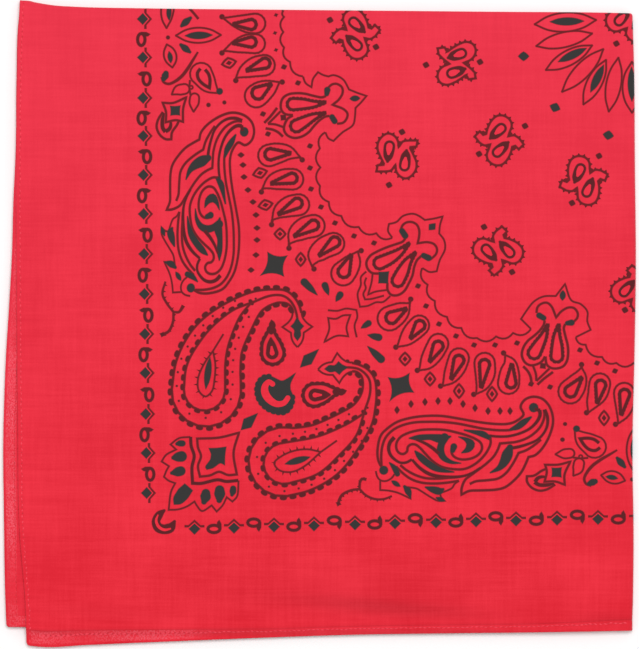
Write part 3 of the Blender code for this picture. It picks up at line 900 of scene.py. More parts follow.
def low_paisley(pen):
    """The big paisley below the diagonal."""
    body = blade((351, 367, 4.3), (357.5, 368.2, 3.8), (364.3, 372.4, 4.6), (368.5, 379.5, 6),
                 (369.3, 392, 7.3), (366, 405, 10), (359, 418, 14.8), (337, 439.5, 23.5), (319.5, 452, 29),
                 (300, 459.5, 32.5), (283, 461.8, 34.6))
    loop = blade((363.5, 414, 0.3), (350, 431, 8), (331.5, 445, 13), (310, 457, 18.7), (284, 463.5, 20.5))
    neck = curve((346.5, 367.4), (352, 367.6), (358.5, 369), (365, 373.5), (369.2, 379.5), (370.4, 386.5),
                 (369.5, 396), (363.5, 414))
    big_paisley(pen, body, loop)
    fleur(pen, (318, 369.5), (1.0, -0.07), neck)
    thorny_lens(pen, ((320.8, 452), (308, 449.3), (294, 450.8), (281, 456.5), (274.3, 463), (279, 470),
                      (291, 472), (304, 466.5)), (285, 464), (310, 457), (337, 440.5))


def big_paisley(pen, body, loop):
    """The body of a big paisley with beads outside it, and its beaded inner loop."""
    pen.clear(body)
    pen.line(body, FULL, closed=True)
    pen.line(loop, 2.0, closed=True)
    pen.beads(body, 1.9, 9.6, 7.0, 4.6)
    pen.beads(loop, 1.7, 9.4, 6.4, 3.8)
    pen.beads(loop, 7.4, 12.5, 1.8, 1.8)


def fleur(pen, tip, away, neck):
    """The pointed fleur that closes a big paisley, away from its tip, and the line along the neck."""
    away = np.array(away) / np.linalg.norm(away)
    sides = []
    for across in (np.array((-away[1], away[0])), np.array((away[1], -away[0]))):
        at = placer(tip, away, across)
        sides.append(cornered([at(0, 0), at(4, 3.6), at(9, 5.8), at(14.5, 6.4)], [at(16.5, 9.5),
                                                                                  at(20.3, 15)],
                              [at(24.5, 9.4), at(29.5, 5.6), at(34, 4.4)]))
    pen.clear(np.vstack((sides[0], sides[1][::-1])))
    for side in sides:
        pen.line(side, THIN)
    pen.line(neck, 2.0)
    at = placer(tip, away, np.array((-away[1], away[0])))
    core = cornered([at(6.5, 0), at(11.5, 3.4), at(17, 3.0)], [at(21, 6.6)], [at(24.5, 3.2), at(29.5, 0.4)],
                    [at(29.5, -0.4), at(24.5, -3.2), at(21, -6.6)], [at(17, -3.0), at(11.5, -3.4),
                                                                     at(6.5, 0)])
    pen.fill(core[:-1])


def thorny_lens(pen, outline, core_start, core_end, stem_end):
    """A thorny leaf with a filled core, on a stem. Its outline starts where the stem leaves it."""
    path = curve(*outline, outline[0])
    pen.line(path, THIN)
    pen.thorns(path[:-1], 4.6, 6.8, 2.6, closed=True)
    pen.fill(leaf(core_start, core_end, 3.3))
    pen.line(curve(outline[0], stem_end), THIN)


def loose_drops(pen):
    """The beaded drop beside each big paisley."""
    for spine, ring in (
        (((344.2, 392, 0.3), (335, 391.8, 3.2), (325, 392.8, 8.8), (314.4, 395, 11.2)),
         ((330.5, 394.8, 0.5), (324.5, 394.8, 4.2), (315, 395, 6.4))),
        (((272.6, 322.4, 0.3), (271.2, 332, 3.2), (271.2, 342.5, 8.8), (272.8, 353, 11.2)),
         ((270.8, 337.5, 0.5), (271.2, 344, 4.0), (272.2, 353, 6.2))),
    ):
        pen.outline(blade(*spine), 2.6, bead=1.0, pitch=5.2)
        pen.fill(blade(spine[0], (*spine[1][:2], 2.4)), BOLD_INK)
        pen.fill(blade(*ring), BOLD_INK)
        tip, head = np.array(ring[0][:2]), np.array(ring[-1][:2])
        pen.clear(blade((*(head + (tip - head) * 0.45), 0.8), (*head, 2.5)))


def crescent_with_star(pen):
    """The small filled paisley on the diagonal, with a curled band of bare cloth in it."""
    back = curve((276, 378.5), (270, 375.8), (263.5, 376.5), (258.5, 381), (256, 389), (258, 399.5),
                 (265.5, 408.5), (275, 412.8), (285, 413), (291.3, 407), (293.5, 398), (290.5, 389.5))
    body = cornered([*back], ((290.5, 384), (295.8, 372.7)), ((288.5, 377.8), (282, 380.8), (276, 378.5)))
    pen.fill(body[:-1])
    pen.line(back[3:-3], 1.6, bead=1.0, pitch=5.2, cover=SOLID_INK, other_side=True)
    pen.clear(blade((272.6, 384, 2.6), (268.8, 382, 2.6), (265.2, 386, 3.2), (265, 392.5, 3.8),
                    (269.4, 399.5, 3.7), (277, 404, 3.1), (284, 402.8, 2.7), (287.8, 398, 2.6)))


def feather_paisley(pen):
    """The paisley whose head curls over a striped feather."""
    outer = cornered(
        ((383.5, 470), (378.5, 461), (377.5, 450), (380.8, 435.5), (387.3, 428.5), (397, 422), (410, 418),
         (425, 416), (442, 416), (460, 418.8), (478, 422), (496, 424), (508, 423.8), (516, 421.2),
         (523.5, 414.5), (520.6, 407.5), (521.4, 404), (525, 399.6), (531, 397), (537, 397), (543, 399.3),
         (548.5, 405), (552, 413), (553, 422), (550.8, 432), (546, 442.6), (540, 451), (534.4, 455.5),
         (528.5, 457)),
        ((526, 463), (521.4, 472), (514.4, 480), (505, 487.2), (496, 489.6), (480, 490.4), (469, 491),
         (461.5, 494.6)),
        ((461.5, 489), (465, 480), (472, 474.4), (480, 468.5), (487.5, 462.6), (494, 456), (498, 449),
         (500, 443.5)),
        ((507.5, 442.8), (515.5, 442), (525, 439), (532, 435), (539, 428.5), (543, 421.5), (544.5, 415),
         (543.8, 409.5)),
    )
    pen.line(outer, FULL)
    pen.fill(disc(383.7, 470.2, 4.4))
    pen.line(curve((381.5, 466), (381.2, 455), (382.6, 445), (386, 437), (393, 430), (402, 425.4),
                   (414, 422.5), (428, 421.8), (442, 422), (457, 423.5), (470, 426), (484, 428.8),
                   (498, 430.2), (510, 430), (516, 428.4)), FULL)
    pen.fill(blade((509, 429.8, 0.6), (517, 427, 2.8), (524, 422, 3.0), (531.5, 416.8, 0.6)))
    pen.fill(disc(533.6, 407.6, 4.6))
    pen.line(curve((534.5, 409), (540, 410.5)), 3.2)
    pen.line(curve((539.5, 410), (540, 415), (537, 421.4), (530, 428.4), (520, 433.3), (508.5, 436.2),
                   (497, 436.5), (489, 435.6)), (3.4, 2.4, 2.2, 2.2))
    pen.line(curve((544.5, 409.5), (547.3, 416.5), (547.3, 425), (543.8, 433), (537, 440), (528.5, 443.8),
                   (519, 446.7), (509, 448.5)), (3.2, 2.2, 2.2, 3.0))
    pen.line(cornered(((541, 439.5), (534.4, 445), (526, 450.3), (518.5, 453)),
                      ((516, 458), (512, 465), (506, 473), (498, 478.5), (487, 480.2), (475.5, 481.4),
                       (469.6, 484))), FULL)
    pen.fill(blade((510, 447.5, 3.0), (507.5, 454, 5.2), (504, 462, 4.4), (499, 468, 2.6), (490, 472.8, 0.4)))
    pen.fill(blade((464, 430, 0.6), (474, 432, 1.8), (483, 434.2, 3.0), (489.5, 438, 2.0)))
    inner = curve((453.5, 447), (451.4, 451.5), (453.4, 456), (459, 459), (466, 459.4), (473.5, 457.6),
                  (479, 454), (482, 448.5), (480.8, 443), (475.5, 439), (467, 435.4), (457, 432.6),
                  (445, 430), (431, 429.4), (419, 430.2), (407.5, 433.2), (400.2, 437.3), (396.5, 443),
                  (396.5, 449), (399, 452.8), (403.3, 454), (407, 451.4), (407.8, 447), (411, 444.4),
                  (415.5, 444.6), (420.2, 448), (426, 454.4), (433, 461.4), (441.5, 466.7), (452, 469),
                  (464, 469), (473.5, 465), (481.5, 458.5), (487.3, 451), (490.6, 443), (490.2, 438))
    pen.line(inner, FULL)
    pen.fill(blade((452.6, 450.5, 2.4), (453.8, 446.6, 3.2)))
    pen.fill(blade((458.5, 436.8, 0.3), (465.8, 439.4, 2.0), (470.4, 444, 4.2), (468.3, 449, 3.2),
                   (461.5, 452.9, 0.3)))
    pen.fill(blade((409, 438.2, 0.4), (418, 437.8, 2.8), (430, 437, 2.8), (441, 438.6, 4.2),
                   (451, 436.4, 0.5)))
    pen.fill(blade((444.5, 437.5, 4.2), (441.5, 444, 3.4), (440.5, 451, 3.6), (443.5, 457.5, 3.0),
                   (451, 462, 1.8), (461, 463.2, 0.3)))
    pen.line(curve((416, 439.5), (424.5, 443), (432.5, 448), (439, 453.5)), (2.0, 2.8, 3.4))
    pen.line(curve((394.4, 437.3), (390, 442.5), (388.6, 448.5), (390.2, 454.4), (394.4, 459.2),
                   (400.2, 462.6), (406, 462.5), (412, 459.4)), (3.6, 3.0, 2.2, 2.2))
    pen.fill(blade((414.8, 450.8, 0.5), (419.5, 456, 3.0), (427, 462.6, 3.4), (436, 468.3, 3.0),
                   (446, 471, 1.6), (454, 472, 0.4)))
    pen.line(curve((412, 459.5), (419, 467.2), (427.3, 473), (436, 476), (448, 477.2), (463.5, 476),
                   (472, 473), (480.5, 467.8)), (2.2, 3.2, 3.4, 2.2, 2.2))
    pen.line(curve((400.2, 465), (406, 469.8), (414.5, 474.6), (425, 478), (438, 478.6), (450, 477.6)), FULL)
    pen.line(curve((396, 466.5), (402.6, 473), (411, 479), (421.5, 482.6), (434.5, 483.5), (447.5, 482.6),
                   (459, 480.8)), FULL)
    pen.fill(blade((389.3, 462.5, 0.4), (394.5, 468, 2.6), (397.3, 473.8, 2.6)))
    pen.line(curve((375.8, 471), (377.2, 476.5), (380.5, 480.3), (386, 481), (391.4, 478.2), (394.6, 474)),
             THIN)
    barbs = cornered(
        ((380.2, 480), (380.2, 490)), ((388.5, 490.6), (398, 492.8), (410.6, 498.6)), ((409.8, 487.6),),
        ((404.5, 486.8),), ((410, 487.4), (416.7, 488.6), (422.6, 492), (431, 497.3), (438, 500.8),
                            (444.9, 500.9)),
        ((440.8, 496.7), (440.2, 493.2)), ((452, 488), (454.5, 484), (459, 480.8)),
    )
    pen.line(barbs, THIN)
    pen.fill(leaf((391.5, 480.8), (400.2, 486.4), 2.3))
    pen.fill(blade((404.6, 486.6, 1.4), (408, 491, 3.2), (410.6, 498.4, 0.4)))
    pen.fill(blade((425, 487, 0.5), (433, 489.6, 3.2), (440, 491, 3.4), (444, 488.6, 0.6)))
    pen.fill(blade((436, 497.6, 0.5), (440.5, 499.4, 2.2), (445, 500.9, 0.4)))


def low_tendril(pen):
    """The thorny tendril between the low paisley and the border."""
    pen.fill(diamond(338.5, 503.5, 2.6, 2.8, 20, 0.05), BOLD_INK)
    stalk = curve((338.5, 502), (342, 495), (350.5, 490.5), (359.5, 489))
    twig = curve((359.5, 489), (360, 482), (362, 479), (366.5, 479.5))
    tail = curve((359.5, 489), (365.5, 495), (374.5, 499), (384, 499), (392, 496))
    pen.line(stalk, (2.6, 2.2, 2.0))
    pen.line(twig, (2.0, 2.2, 2.6))
    pen.line(tail, (2.0, 2.0, 1.6))
    pen.thorns(stalk, 3.0, 5.0, 3.2)
    pen.thorns(twig, -3.0, 5.0, 2.6)
    pen.thorns(tail, 3.4, 6.5, 2.6)


def high_tendril(pen):
    """The thorny tendril between the high paisley and the border."""
    tail = curve((165.5, 281.5), (162.5, 294), (167, 303.5), (173.5, 312))
    stalk = curve((173.5, 312), (173, 322), (168.5, 331.5), (162.5, 334.5))
    twig = curve((173.5, 312), (179, 312), (183.5, 305.5))
    pen.line(tail, (1.6, 2.0, 2.0))
    pen.line(stalk, (2.0, 2.2, 2.6))
    pen.line(twig, (2.0, 2.2, 3.2))
    pen.thorns(tail, -3.4, 6.5, 2.6)
    pen.thorns(stalk, -3.0, 5.0, 3.2)
    pen.fill(diamond(162.5, 334.5, 2.8, 2.6, 20, 0.05), BOLD_INK)


def corner_crown(pen):
    """The panel and the fan of petals in the corner."""
    panel = cornered(((197.2, 438.6), (219, 437.6), (239, 432.7)), ((233.6, 452.7), (236.8, 474.4)),
                     ((228, 475), (219, 471.8), (210, 475.4), (200, 476.6)),
                     ((198, 466), (201, 456), (198, 447.5), (197.2, 438.6)))
    fan = cornered(
        ((190.5, 437), (179, 438.2), (170.6, 444.4)), ((176.2, 449.5),), ((166, 455), (161.7, 461.5)),
        ((169, 466.2),), ((166.5, 470.5), (164, 476.8)), ((168.5, 480.6), (175.2, 483.2)),
        ((171, 492), (168.7, 509.8)), ((178, 509.4), (187, 506.4), (194.5, 501.5)),
        ((197.5, 506.5), (202, 511), (211.7, 505.4)), ((216.7, 511.5),), ((222.5, 505.5), (226.7, 497.2)),
        ((232.4, 501.5),), ((237, 496.5), (238.6, 480.4)),
    )
    pen.line(fan, THIN)
    pen.line(panel[:-1], 2.0, closed=True)
    pen.line(cornered(((190.6, 436.8), (191.2, 446), (194.2, 456), (192, 467), (192.6, 483.2)),
                      ((201, 483.4), (217.8, 479.8), (226, 481.4), (238.3, 480.4))), BOLD)
    star = cornered(((208.8, 448.2), (217, 448), (226.2, 446.8)), ((225, 456), (224.8, 465.2)),
                    ((220.5, 463.2), (213, 468), (206.8, 469.6)), ((205.4, 467), (210.3, 459.5),
                                                                   (211.2, 454)),
                    ((208.8, 448.2),))
    pen.fill(star[:-1])
    for rows in (
        ((175.6, 444.2, 0.8), (179.2, 443.4, 2.8), (182.6, 443.4, 2.9)),
        ((171.6, 458, 1.0), (176.5, 457.2, 4.2), (181.6, 456.4, 5.2)),
        ((171.8, 473, 1.6), (177, 472, 4.4), (180.8, 471, 4.6)),
        ((205.9, 493.2, 4.2), (205.5, 497, 5.2), (204, 501.8, 2.6)),
        ((219.7, 490, 4.6), (219.7, 494.4, 5.3), (219.3, 500.2, 2.7)),
        ((233.2, 488.6, 2.9), (232.8, 492, 3.1), (232, 494.8, 1.6)),
    ):
        pen.fill(blade(*rows))
    pen.fill(cornered(((184.8, 483.6), (192.8, 490.4)), ((187, 499), (180.5, 504), (174, 504.5)),
                      ((173.5, 498), (178.5, 489)), closed=True))


# Half of a field pair's outline, from one drop's notch to the other's: its round head, its tail and the
# tail's blunt end. Then the ring inside it. The other half is the same, turned half round.
Pair = namedtuple("Pair", "head tail end ring_tip ring_head")
UPRIGHT = Pair(
    head=((-10, -11), (-4, -15.5), (3, -19.5), (9.5, -21.5), (16, -19.5), (19, -14), (18, -8), (14, -3.5),
          (7, -0.5)),
    tail=((13.5, 4.5), (18, 9)), end=((19, 15), (12, 16), (9.5, 11.5)),
    ring_tip=(-8.5, -5.5), ring_head=(5, -10),
)
LEANING = Pair(
    head=((-13, -6.5), (-11.5, -12.5), (-7.5, -20), (-2, -24.5), (5, -24.5), (11, -20), (12.5, -14.5),
          (10.5, -8.5), (9, -4)),
    tail=((15, -5), (20, -2)), end=((24.5, 4), (19.5, 9), (16, 5.5)),
    ring_tip=(-9, -2), ring_head=(2, -12),
)
STEEP = Pair(
    head=((-13, 8), (-16.5, 1), (-19.5, -7), (-18.5, -14.5), (-13, -21), (-8, -22.5), (-2, -19.5),
          (1, -14.5), (1.5, -8.5)),
    tail=((6, -14.5), (12.5, -15.5)), end=((20.5, -15.5), (19.5, -9.5), (13, -8)),
    ring_tip=(-9.5, 5.5), ring_head=(-7.5, -10),
)
# Where the pairs lie: (pair, column, row, turn in degrees, flip across, flip down, dots beside the pair).
PAIRS = (
    (UPRIGHT, 456.6, 63.4, 0, 1, 1, ((426, 65), (480, 62))),
    (LEANING, 499.2, 140.4, 0, 1, 1, ((525, 126), (479, 154))),
    (LEANING, 583.6, 180.5, -24, 1, 1, ((599, 156), (572, 203))),
    (LEANING, 355.5, 34, 0, -1, 1, ((330, 20), (376, 47))),
    (LEANING, 498, 251, 90, 1, 1, ((484, 227), (512, 272))),
    (STEEP, 397, 156, 0, 1, 1, ((402, 132), (389, 185))),
    (LEANING, 636, 290, 90, 1, -1, ((625, 310),)),
    (LEANING, 631, 19, 90, 1, -1, ((616.4, 43.6),)),
)


def field_pairs(pen):
    """Pairs of drops that curl round each other, over the middle field."""
    for pair, column, row, turn, flip_x, flip_y, dots in PAIRS:

        def place(points):
            return turned(np.array(points, float), turn) * (flip_x, flip_y) + (column, row)

        halves = []
        for sign in (1, -1):
            head, tail, end = (np.array(points) * sign for points in (pair.head, pair.tail, pair.end))
            halves += [curve(*place(head))[:-1], curve(*place(np.vstack((head[-1:], tail)))), place(end)]
        outline = np.vstack(halves)
        pen.outline(outline, 1.8)
        pen.thorns(outline, 3.5, 5.0, 4.8, closed=True)
        for sign in (1, -1):
            tip, head = place(np.array((pair.ring_tip, pair.ring_head)) * sign)
            near, middle, far = (tip + (head - tip) * share for share in (0.25, 0.5, 0.75))
            pen.fill(blade((*tip, 1.2), (*near, 4.0), (*far, 5.4), (*head, 5.4)), BOLD_INK)
            pen.clear(blade((*middle, 1.4), (*far, 2.9), (*head, 3.1)))
        for x, y in dots:
            pen.fill(diamond(x, y, 3.3, 3.1, 15, -0.08), BOLD_INK)


# Petals of the centre medallion: (tip, far end, half width, filled core's ends, its half width).
MEDALLION = (
    ((534.8, 24.3), (596, 20), 9.5, ((550, 21.8), (583.9, 21.1)), 3.9),
    ((536.3, 46.1), (592, 33.5), 7.5, None, 0),
    ((545.9, 70), (592, 45.5), 7.5, ((558.1, 61.9), (586.5, 48.2)), 3.9),
    ((562.1, 91.8), (603.2, 49.2), 7.5, None, 0),
    ((583.4, 104.4), (606, 60), 7.5, ((590.5, 92.3), (603.7, 64.9)), 4),
    ((608.8, 111.5), (618.4, 57.8), 7.5, None, 0),
    ((632, 112.6), (632, 62), 9.5, ((632, 101.4), (631.5, 67)), 3.9),
)


def centre_medallion(pen):
    """The part of the cloth's middle rosette that lies on this quarter, and the diamonds round it."""
    for tip, end, half, core, core_half in MEDALLION:
        petal(pen, tip, end, half, core, core_half)
    for x, y, turn in ((523.6, 56.3, 0), (555, 107.5, 20), (608.3, 135.2, 10)):
        pen.fill(diamond(x, y, 5.4, 4.6, turn))


def over_lobe(path):
    """Where the side lobe comes again, beside the lower border."""
    return mirrored(path) - (6.5, 0)


# The motifs in the order in which they are laid down, and where each of them comes a second time.
MOTIFS = (
    (mirrored, (mid_edge_rosette, bud)),
    (None, (corner_crown, wavy_line, drop_row, corner_lobe, bracketed_panel, loose_leaves, high_paisley,
            low_paisley, loose_drops, crescent_with_star, field_pairs, centre_medallion)),
    (over_lobe, (side_lobe,)),
    (on_side, (feather_paisley,)),
    (None, (border_chain, low_tendril, high_tendril)),
)


def draw_print():
    """The whole print of a quarter of the cloth."""
    pen = Print()
    for second_place, motifs in MOTIFS:
        pen.placings = (as_drawn, second_place) if second_place else (as_drawn,)
        for draw in motifs:
            draw(pen)
    return np.concatenate(pen.triangles), np.concatenate(pen.covers)


# ---- Cutting the cloth along its print, and laying it into the folds. ----


def lattice_lines(end, crease_radius):
    """Distances of the cloth's lines from an edge: close over a hem and round a crease, wide in the field."""
    lines = [*HEM_LINES, *np.arange(HEM_LINES[-1] + HEM_PITCH, BORDER_END, HEM_PITCH)]
    flat_end = min(end, SIDE)
    start = lines[-1]
    count = round((flat_end - start) / FIELD_PITCH)
    lines += [start + (flat_end - start) * (k + 1) / count for k in range(count)]
    if end > SIDE:
        turn = end - SIDE
        count = max(2, round(CREASE_LINES * turn / (math.pi * crease_radius)))
        lines += [SIDE + turn * (k + 1) / count for k in range(count)]
    return np.array(lines)


def cover_at(places, shapes, covers):
    """What covers each place: the last shape laid over it."""
    found = np.full(len(places), BARE)
    if shapes is None:
        return found
    order = np.argsort(places[:, 0])
    x, y = places[order].T
    firsts = np.searchsorted(x, shapes[:, :, 0].min(axis=1))
    lasts = np.searchsorted(x, shapes[:, :, 0].max(axis=1))
    for (a, b, c), first, last, cover in zip(shapes, firsts, lasts, covers):
        near_x, near_y = x[first:last], y[first:last]
        under = np.ones(last - first, bool)
        for start, end in ((a, b), (b, c), (c, a)):
            under &= (end[0] - start[0]) * (near_y - start[1]) >= (end[1] - start[1]) * (near_x - start[0])
        places_under = order[first:last][under]
        if cover == RIM:
            places_under = places_under[found[places_under] == BARE]
        found[places_under] = cover
    return found


def triangulated(points, edges):
    """Points and triangles of the flat mesh through all the points, in which every edge is kept."""
    made = delaunay_2d_cdt([Vector(point) for point in points], edges, [], 0, 1e-4, False)
    return np.array([(point.x, point.y) for point in made[0]]), np.array(made[2])


def print_borders(shapes, covers):
    """The lines along which the cover changes, as runs of points."""
    edges = []
    for k in range(0, 3 * len(shapes), 3):
        edges += [(k, k + 1), (k + 1, k + 2), (k + 2, k)]
    points, triangles = triangulated(shapes.reshape(-1, 2), edges)
    found = cover_at(points[triangles].mean(axis=1), shapes, covers)
    cover_beside = {}
    for (a, b, c), cover in zip(triangles.tolist(), found.tolist()):
        cover_beside[a, b] = cover_beside[b, c] = cover_beside[c, a] = cover
    near = defaultdict(set)
    for (a, b), cover in cover_beside.items():
        if cover != cover_beside.get((b, a), BARE):
            near[a].add(b)
            near[b].add(a)
    forks = {point for point, others in near.items() if len(others) != 2}
    runs = []
    for start in [*forks, *near]:
        while near[start]:
            run = [start]
            while near[run[-1]]:
                following = near[run[-1]].pop()
                near[following].discard(run[-1])
                run.append(following)
                if following in forks:
                    break
            runs.append(simplified(points[run]))
    return runs


def simplified(run):
    """The same run of points without those that lie within BORDER_SLACK of the line through the others."""
    kept = {0, len(run) - 1}
    if len(run) > 3 and np.allclose(run[0], run[-1]):
        kept.add(len(run) // 2)
    spans = list(zip(sorted(kept), sorted(kept)[1:]))
    while spans:
        first, last = spans.pop()
        if last - first < 2:
            continue
        chord = run[last] - run[first]
        offsets = run[first + 1:last] - run[first]
        apart = np.abs(chord[0] * offsets[:, 1] - chord[1] * offsets[:, 0]) / max(np.hypot(*chord), 1e-9)
        farthest = int(np.argmax(apart))
        if apart[farthest] > BORDER_SLACK:
            middle = first + 1 + farthest
            kept.add(middle)
            spans += [(first, middle), (middle, last)]
    return run[sorted(kept)]


class Cut:
    """A rectangle of cloth as a flat mesh: points (u, v), triangles, what covers each, and its rim."""

    def __init__(self, u_lines, v_lines, shapes=None, covers=(), rim=None, fine=True):
        points, edges = [], []
        total = 0

        def add(rows, linked):
            nonlocal total
            points.append(rows)
            if linked:
                edges.extend((total + k, total + k + 1) for k in range(len(rows) - 1))
            total += len(rows)

        if shapes is not None:
            for run in print_borders(shapes, covers):
                add(run, True)
        if rim is not None:
            add(np.vstack((rim, rim[:1])), True)
        self.add_lattice(add, u_lines, v_lines, fine, rim is None)
        self.points, triangles = triangulated(np.vstack(points), edges)
        centres = self.points[triangles].mean(axis=1)
        end = (u_lines[-1], v_lines[-1])
        inside = np.all((centres > 0) & (centres < end), axis=1)
        self.triangles = triangles[inside]
        self.centres = centres[inside]
        self.covers = cover_at(self.centres, shapes, covers)
        self.rim = self.find_rim()

    def add_lattice(self, add, u_lines, v_lines, fine, with_rim):
        """Lines along the hems and creases, close enough for their ripples, and loose points in the field."""

        def near(place):
            return place <= HEM_LINES[-1] or place > CREASE_START

        pitch = HEM_PITCH if fine else FIELD_PITCH
        field_u = np.array([place for place in u_lines if not near(place)])
        field_v = np.array([place for place in v_lines if not near(place)])
        long_u = np.unique(np.concatenate((u_lines, np.arange(0, u_lines[-1], pitch))))
        long_v = np.unique(np.concatenate((v_lines, np.arange(0, v_lines[-1], pitch))))
        drawn = slice(None) if with_rim else slice(1, -1)
        for place in u_lines[drawn]:
            if near(place):
                add(np.stack((np.full(len(long_v), place), long_v), 1), True)
        for place in v_lines[drawn]:
            if near(place):
                add(np.stack((long_u, np.full(len(long_u), place)), 1), True)
        grid_u, grid_v = np.meshgrid(field_u, field_v)
        add(np.stack((grid_u.ravel(), grid_v.ravel()), 1), False)

    def find_rim(self):
        """The boundary's corner numbers, in order and with the cloth to the left."""
        following = {}
        seen = set()
        for a, b, c in self.triangles.tolist():
            seen.update(((a, b), (b, c), (c, a)))
        for a, b in seen:
            if (b, a) not in seen:
                following[a] = b
        start = next(iter(following))
        rim = [start]
        while following[rim[-1]] != start:
            rim.append(following[rim[-1]])
        return rim


def hem_fullness(distance, column):
    """How full a hem's wall is at a distance from its edge, on the print side (0) or the wrong side (1)."""
    distances, *fullness = np.array(HEM_PROFILE).T
    return np.interp(distance, distances, fullness[column])


# Puckers that the stitches pull into a hem: (waves a millimetre, height in millimetres, phase), and between
# which distances from the edge they rise and fade.
PUCKERS = ((0.19, 0.06, 0.4), (0.31, 0.05, 2.1), (0.083, 0.07, 1.2), (0.47, 0.03, 5.0))
PUCKERS_RISE = (0.4, 2.0)
PUCKERS_FADE = (4.5, HEM_REACH)


def puckers(along, distance):
    """How far a hem's puckers lift the cloth, along the hem and at a distance from its edge."""
    waves = sum(height * np.sin(2 * math.pi * rate * along + phase) for rate, height, phase in PUCKERS)
    return waves * smooth_step(distance, *PUCKERS_RISE) * (1 - smooth_step(distance, *PUCKERS_FADE))


def cloth_depths(u, v, flipped):
    """Depths of the print side and the wrong side of the thin cloth at (u, v)."""
    outer = hem_fullness(u, 0) * hem_fullness(v, 0) * WALL / 2
    inner = -hem_fullness(u, 1) * hem_fullness(v, 1) * WALL / 2
    in_hem = (u < HEM_WIDTH + HEM_STEP / 2) | (v < HEM_WIDTH + HEM_STEP / 2)
    lift = puckers(v, u) + puckers(u, v)
    if not flipped:
        inner = np.where(in_hem, inner, outer - CLOTH_THICKNESS)
        return outer + lift, inner + lift
    # A layer that shows its wrong side keeps it near the CAD's, and meets the outer layer at the crease.
    near_crease = smooth_step(v / SIDE, *CREASE_APPROACH)
    field_wrong = -WRONG_SIDE_DEPTH + near_crease * (WRONG_SIDE_DEPTH + WALL / 2 - CLOTH_THICKNESS)
    wrong = np.where(in_hem, inner, field_wrong)
    outer = np.where(in_hem, outer, field_wrong + CLOTH_THICKNESS)
    return outer, wrong - lift


# ---- Materials. ----


class Nodes:
    """Shorthand for a material's node tree."""

    def __init__(self, name):
        self.material = bpy.data.materials.new(name)
        self.material.use_nodes = True
        self.tree = self.material.node_tree
        self.shader = self.tree.nodes["Principled BSDF"]

    def add(self, kind, links=(), **settings):
        """A node with its links and settings, where _ stands for a space in a socket's name."""
        node = self.tree.nodes.new(kind)
        for name, value in settings.items():
            if hasattr(node, name):
                setattr(node, name, value)
            else:
                node.inputs[name.replace("_", " ")].default_value = value
        for socket, source in dict(links).items():
            self.tree.links.new(source, node.inputs[socket])
        return node

    def link(self, source, socket):
        """Links a source to a socket of the shader."""
        self.tree.links.new(source, self.shader.inputs[socket])

    def noise(self, scale, detail=2.0):
        """A noise whose features are 1 / scale of a metre along each axis."""
        place = self.add("ShaderNodeTexCoord").outputs["Object"]
        mapping = self.add("ShaderNodeMapping", {"Vector": place}, Scale=scale)
        node = self.add("ShaderNodeTexNoise", {"Vector": mapping.outputs[0]}, Scale=1.0, Detail=detail)
        return node.outputs[0]

    def rise(self, value, start, end, top=1.0):
        """An even rise from 0, where the value is at start, to top at end."""
        node = self.add("ShaderNodeMapRange", {"Value": value}, From_Min=start, From_Max=end, To_Max=top)
        return node.outputs[0]

    def math(self, operation, first, second):
        """A Math node of two values, each a number or a socket."""
        node = self.add("ShaderNodeMath", operation=operation)
        for index, value in enumerate((first, second)):
            if isinstance(value, (int, float)):
                node.inputs[index].default_value = value
            else:
                self.tree.links.new(value, node.inputs[index])
        return node.outputs[0]

    def mix(self, factor, first, second):
        """A colour between two, each given as red, green, blue and alpha or as a socket."""
        node = self.add("ShaderNodeMix", data_type="RGBA")
        self.tree.links.new(factor, node.inputs[0])
        for index, value in ((6, first), (7, second)):
            if isinstance(value, tuple):
                node.inputs[index].default_value = value
            else:
                self.tree.links.new(value, node.inputs[index])
        return node.outputs[2]


# Colours as red, green and blue, and for each dyed cotton the deepest and the brightest that it shows.
PRINTED_DYE = ((0.668, 0.0055, 0.02), (0.782, 0.018, 0.038))
WRONG_SIDE_DYE = ((0.665, 0.009, 0.025), (0.78, 0.025, 0.049))
BAND_DYE = ((0.67, 0.007, 0.021), (0.79, 0.02, 0.042))
RIM_COLOUR = (0.34, 0.008, 0.02)
THIN_INK_COLOUR = (0.125, 0.0025, 0.0055)
BOLD_INK_COLOUR = (0.085, 0.0035, 0.006)
SOLID_INK_COLOUR = (0.0235, 0.0225, 0.0215)
RAISED_THREAD_COLOUR = (0.84, 0.045, 0.078)
# The sunk stitches' dark red is painted shade: it stands for the shade in the needle holes between the raised
# stitches.
SUNK_THREAD_PAINTED_SHADE = (0.6, 0.014, 0.03)
FLOOR_COLOUR = (0.93, 0.93, 0.93)
# The paler, lighter red that is painted in little by little towards the top crease, as painted light that
# falls
# brighter there: where it starts and ends, in metres, and its share there.
PAINTED_LIGHT_RED = (0.755, 0.039, 0.088)
PAINTED_LIGHT_SPAN = (-0.14, 0.14)
PAINTED_LIGHT_SHARE = 0.4
# The light red of the threads' undyed hearts, where a turned hem's wear brings them up, their share at the
# most, and the stretch over which they fade out towards the right, in metres. Then the levels of their noise
# and of their patches' noise at which they start and are full.
FLECK = (0.88, 0.15, 0.2)
FLECK_SHARE = 0.62
FLECKS_END = (-0.072, -0.04)
FLECK_LEVELS = (0.4, 0.64)
PATCH_LEVELS = (0.3, 0.6)
# How often the slubs of the threads come: (along a thread, across it), a metre, and how often through the
# cloth.
SLUBS = ((24, 310), (70, 830), (41, 1370))
SLUB_DEPTH = 60
# Noises by how often they come, a metre: soft mottling, the finest grain of the weave, flecks and patches
# of flecks.
MOTTLING = (32, 32, 32)
GRAIN = (1700, 1700, 400)
FLECKING = (2400, 1300, 900)
FLECK_PATCHES = (30, 30, 30)
# The shares of the mottling, of the two threads' slubs and of the grain in a dye's spread, and where it
# starts and ends.
SPREAD_SHARES = (0.35, 0.42, 0.34, 0.14)
SPREAD = (0.53, 0.73)
# The weave's relief: the shares of the two threads' slubs and of the grain, and its height in metres.
RELIEF_SHARES = (1.6, 1.6, 0.5)
WEAVE_HEIGHT = 0.00006
